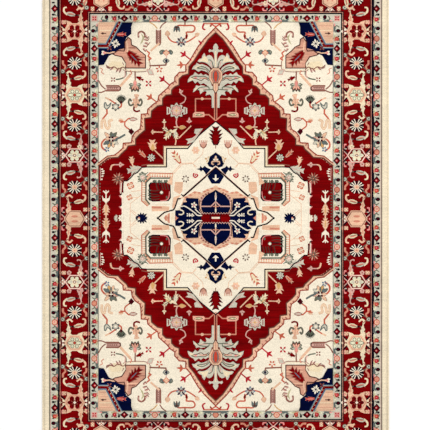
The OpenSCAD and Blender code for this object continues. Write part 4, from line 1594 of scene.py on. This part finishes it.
def add_strand(points, faces, tassel, strand, r, rng):
    """One plied warp end, from the flat weave through the knot to its loose tip on the floor."""
    x0, root, sign, length, swing = tassel
    around = 2 * math.pi * strand / (STRANDS - 1)
    side = 0 if strand == STRANDS - 1 else math.cos(around)
    rise = 0 if strand == STRANDS - 1 else math.sin(around)
    yarn = r * 0.3
    reach = length * rng.uniform(0.88, 0.99)
    wander, phase = rng.uniform(-0.5, 0.5), rng.uniform(0, 6.28)
    path = []
    for k in range(STRAND_RINGS + 1):
        t = k / STRAND_RINGS
        s = t * reach
        spread = r * (0.3 + 0.5 * min(1, max(0, (s - 3 * r) / (6 * r))))
        if t > 0.35:
            spread += r * 0.35 * (t - 0.35)
        wave = r * 0.4 * math.sin(5 * t + phase) * t + r * wander * t * t
        x = x0 + side * spread + wave + math.sin(swing) * s
        height = r + rise * r * 0.5
        settle = min(1, max(0, (s - 3.2 * r) / (5 * r)))
        on_floor = yarn * 1.05 + (rise + 1) * 0.32 * r
        z = height + (on_floor - height) * settle
        if s < 1.2 * r:
            z = yarn * 1.1 + (height - yarn * 1.1) * s / (1.2 * r)
        middle = Vector((x, root + sign * s, z))
        thick = yarn * (1 if k < STRAND_RINGS else 0.6)
        path.append((middle, Vector((-sign, 0, 0)), Vector((0, 0, 1)), thick))
    add_tube(points, faces, path, 5, around)


# ---------------------------------------------------------------- materials
def linear(rgb):
    out = []
    for c in rgb:
        c = c / 255
        out.append(c / 12.92 if c <= 0.04045 else ((c + 0.055) / 1.055) ** 2.4)
    return (*out, 1)


def coordinates(mat):
    """The object coordinates that all of a material's textures share."""
    nodes = mat.node_tree.nodes
    coord = nodes.get("coordinates") or nodes.new("ShaderNodeTexCoord")
    coord.name = "coordinates"
    return coord.outputs["Object"]


def scaled(mat, scale=(1, 1, 1), turn=0):
    m = mat.node_tree.nodes.new("ShaderNodeMapping")
    m.inputs["Scale"].default_value = scale
    m.inputs["Rotation"].default_value = (0, 0, math.radians(turn))
    mat.node_tree.links.new(coordinates(mat), m.inputs["Vector"])
    return m.outputs["Vector"]


def noise_tex(mat, scale, detail, rough=0.5, stretch=(1, 1, 1)):
    n = mat.node_tree.nodes.new("ShaderNodeTexNoise")
    n.inputs["Scale"].default_value = scale
    n.inputs["Detail"].default_value = detail
    n.inputs["Roughness"].default_value = rough
    mat.node_tree.links.new(scaled(mat, stretch), n.inputs["Vector"])
    return n.outputs["Fac"]


def wave_tex(mat, vector, scale, distortion, direction):
    w = mat.node_tree.nodes.new("ShaderNodeTexWave")
    w.bands_direction = direction
    w.inputs["Scale"].default_value = scale
    w.inputs["Distortion"].default_value = distortion
    mat.node_tree.links.new(vector, w.inputs["Vector"])
    return w.outputs["Fac"]


def remap(mat, fac, lo, hi, a=0.3, b=0.7):
    m = mat.node_tree.nodes.new("ShaderNodeMapRange")
    m.inputs["From Min"].default_value = a
    m.inputs["From Max"].default_value = b
    m.inputs["To Min"].default_value = lo
    m.inputs["To Max"].default_value = hi
    mat.node_tree.links.new(fac, m.inputs["Value"])
    return m.outputs["Result"]


def times(mat, a, b):
    m = mat.node_tree.nodes.new("ShaderNodeMath")
    m.operation = "MULTIPLY"
    mat.node_tree.links.new(a, m.inputs[0])
    mat.node_tree.links.new(b, m.inputs[1])
    return m.outputs["Value"]


def add_bump(mat, height, strength, distance, invert=False):
    """Lays a bump over whatever normal the material already has."""
    nodes, links = mat.node_tree.nodes, mat.node_tree.links
    bump = nodes.new("ShaderNodeBump")
    bump.inputs["Strength"].default_value = strength
    bump.inputs["Distance"].default_value = distance
    bump.invert = invert
    links.new(height, bump.inputs["Height"])
    normal = nodes["Principled BSDF"].inputs["Normal"]
    if normal.links:
        links.new(normal.links[0].from_socket, bump.inputs["Normal"])
    links.new(bump.outputs["Normal"], normal)


def knot_cells(mat):
    """Cells of one knot each: a random tone for each knot, and the distance from its middle."""
    nodes, links = mat.node_tree.nodes, mat.node_tree.links
    knots = nodes.new("ShaderNodeTexVoronoi")
    knots.inputs["Scale"].default_value = 1 / (KNOT * 1.15)
    links.new(scaled(mat), knots.inputs["Vector"])
    grey = nodes.new("ShaderNodeSeparateColor")
    links.new(knots.outputs["Color"], grey.inputs["Color"])
    return grey.outputs[0], knots.outputs["Distance"]


def wool_tone_and_knot_shade(mat, tone, distance, abrash, speck):
    """How much lighter or darker the dye is: bands, patches, knots and fuzz of the wool, times painted
    shade between knots and a painted highlight at each knot's middle.
    """
    wide = remap(mat, noise_tex(mat, 1.6, 3, 0.6, (1.2, 14, 1)), 1 - abrash, 1 + abrash)
    fine = remap(mat, noise_tex(mat, 2.2, 2, 0.6, (3, 60, 1)), 1 - abrash, 1 + abrash)
    bands = times(mat, wide, fine)
    patches = remap(mat, noise_tex(mat, 9, 2), 1 - abrash * 0.6, 1 + abrash * 0.6)
    flecks = remap(mat, tone, 1 - speck, 1 + speck, 0, 1)
    # Painted light and shade on every knot: the colour is lightened at a knot's middle and darkened towards
    # its edge.
    painted_knot_shade = remap(mat, distance, 1.2, 0.92, 0.1, 0.75)
    fuzz = remap(mat, noise_tex(mat, 1500, 2, 0.7), 1 - 1.2 * speck, 1 + 1.2 * speck)
    return times(mat, times(mat, times(mat, bands, patches), flecks), times(mat, painted_knot_shade, fuzz))


def wool_material(name, rgb, abrash=0.12, speck=0.10):
    """Cut wool pile: bands of uneven dye, knots that differ a little, a soft nap, and painted shade between
    knots with a painted highlight at each knot's middle.
    """
    mat = bpy.data.materials.new(name)
    mat.use_nodes = True
    nodes, links = mat.node_tree.nodes, mat.node_tree.links
    shader = nodes["Principled BSDF"]
    tone, distance = knot_cells(mat)
    colour = nodes.new("ShaderNodeVectorMath")
    colour.operation = "SCALE"
    colour.inputs[0].default_value = linear(rgb)[:3]
    links.new(wool_tone_and_knot_shade(mat, tone, distance, abrash, speck), colour.inputs["Scale"])
    links.new(colour.outputs["Vector"], shader.inputs["Base Color"])
    links.new(remap(mat, noise_tex(mat, 60, 2), 0.86, 0.98), shader.inputs["Roughness"])
    shader.inputs["Specular IOR Level"].default_value = 0.03
    shader.inputs["Sheen Weight"].default_value = 0.06
    shader.inputs["Sheen Roughness"].default_value = 0.25
    add_bump(mat, distance, 0.7, 0.0013, invert=True)
    add_bump(mat, noise_tex(mat, 900, 2, stretch=(1, 2.5, 1)), 0.5, 0.0007)
    return mat


def back_material(dye):
    """Wool knots seen from the back: a row of small bars for every weft."""
    mat = wool_material(dye + "_back", DYES[dye], ABRASH.get(dye, 0.12))
    add_bump(mat, wave_tex(mat, coordinates(mat), 0.314 / KNOT, 0.4, "Y"), 0.7, 0.0008)
    return mat


def cotton_material(name, rgb):
    """Undyed plied cotton: fine slanting plies, small slubs and a little soiling."""
    mat = wool_material(name, rgb, 0.05, 0.06)
    add_bump(mat, wave_tex(mat, scaled(mat, turn=35), 260, 1.5, "X"), 0.45, 0.0004)
    return mat


def floor():
    """A plain pale floor."""
    size = 14
    mesh = bpy.data.meshes.new("floor")
    mesh.from_pydata([(-size, -size, 0), (size, -size, 0), (size, size, 0), (-size, size, 0)],
                     [], [(0, 1, 2, 3)])
    ground = bpy.data.objects.new("floor", mesh)
    bpy.context.collection.objects.link(ground)
    mat = bpy.data.materials.new("floor")
    mat.use_nodes = True
    shader = mat.node_tree.nodes["Principled BSDF"]
    shader.inputs["Base Color"].default_value = (0.97, 0.97, 0.97, 1)
    shader.inputs["Roughness"].default_value = 0.9
    mesh.materials.append(mat)


def studio():
    """A white surround and two wide lamps."""
    world = bpy.data.worlds.new("studio")
    world.use_nodes = True
    world.node_tree.nodes["Background"].inputs["Color"].default_value = (1, 1, 1, 1)
    world.node_tree.nodes["Background"].inputs["Strength"].default_value = 0.72
    bpy.context.scene.world = world
    lamps = (("key_light", (2.2, 1.4, 3.6), 76, 3.0), ("fill_light", (-2.4, -1.2, 3.6), 34, 3.5))
    for name, spot, power, wide in lamps:
        light = bpy.data.lights.new(name, "AREA")
        light.energy = power
        light.size = wide
        lamp = bpy.data.objects.new(name, light)
        lamp.location = spot
        lamp.rotation_euler = (Vector(spot) * -1).to_track_quat("-Z", "Y").to_euler()
        bpy.context.collection.objects.link(lamp)


def camera():
    """Straight down on the rug, so near that both ends run out of the picture."""
    data = bpy.data.cameras.new("camera")
    data.lens = 135
    data.sensor_width = 36
    view_width = 1.886
    cam = bpy.data.objects.new("camera", data)
    cam.location = (-0.003, 0.007, view_width * data.lens / data.sensor_width + PILE_TOP)
    bpy.context.collection.objects.link(cam)
    bpy.context.scene.camera = cam


# ---------------------------------------------------------------- the rug
camera()
floor()
studio()
bpy.context.scene.view_settings.view_transform = "Standard"

for side in (1, -1):
    side_border(side)
    end_border(side)
framing_lines()
guard_stripes()
whole_field()

DARK = ("black", "maroon", "navy")
ABRASH = {"red": 0.26, "ivory": 0.03, "cream": 0.04, "celadon": 0.08, "camel": 0.05, "navy": 0.25}
wool = {dye: wool_material(dye + "_wool", rgb, ABRASH.get(dye, 0.12)) for dye, rgb in DYES.items()}
cotton = cotton_material("cotton_yarn", (238, 230, 212))
zones = zones_by_size()
spots, plan, dark = woven_plan(zones)
on_the_weave = [piece(node + "_pile", pile_piece(node, cells, spots, dark, wool), node)
                for node, cells in sorted(plan.items())]
for side in ("right", "left"):
    wrap = "selvedge_wrap_" + side
    on_the_weave.append(piece("overcast_" + side, overcast(wrap), wrap))
    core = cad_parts["selvedge_core_" + side]
    core.data.materials.clear()
    core.data.materials.append(cotton)
    on_the_weave.append(core)
for end in ("far", "near"):
    for name, make, node in (("flat_weave_", flat_weave, "kilim_end_"),
                             ("twined_cord_", twined_cord, "twining_"),
                             ("warp_tassels_", warp_tassels, "fringe_")):
        on_the_weave.append(piece(name + end, make(node + end), node + end))
weave = piece("knotted_foundation", foundation(zones), "ground_weave")
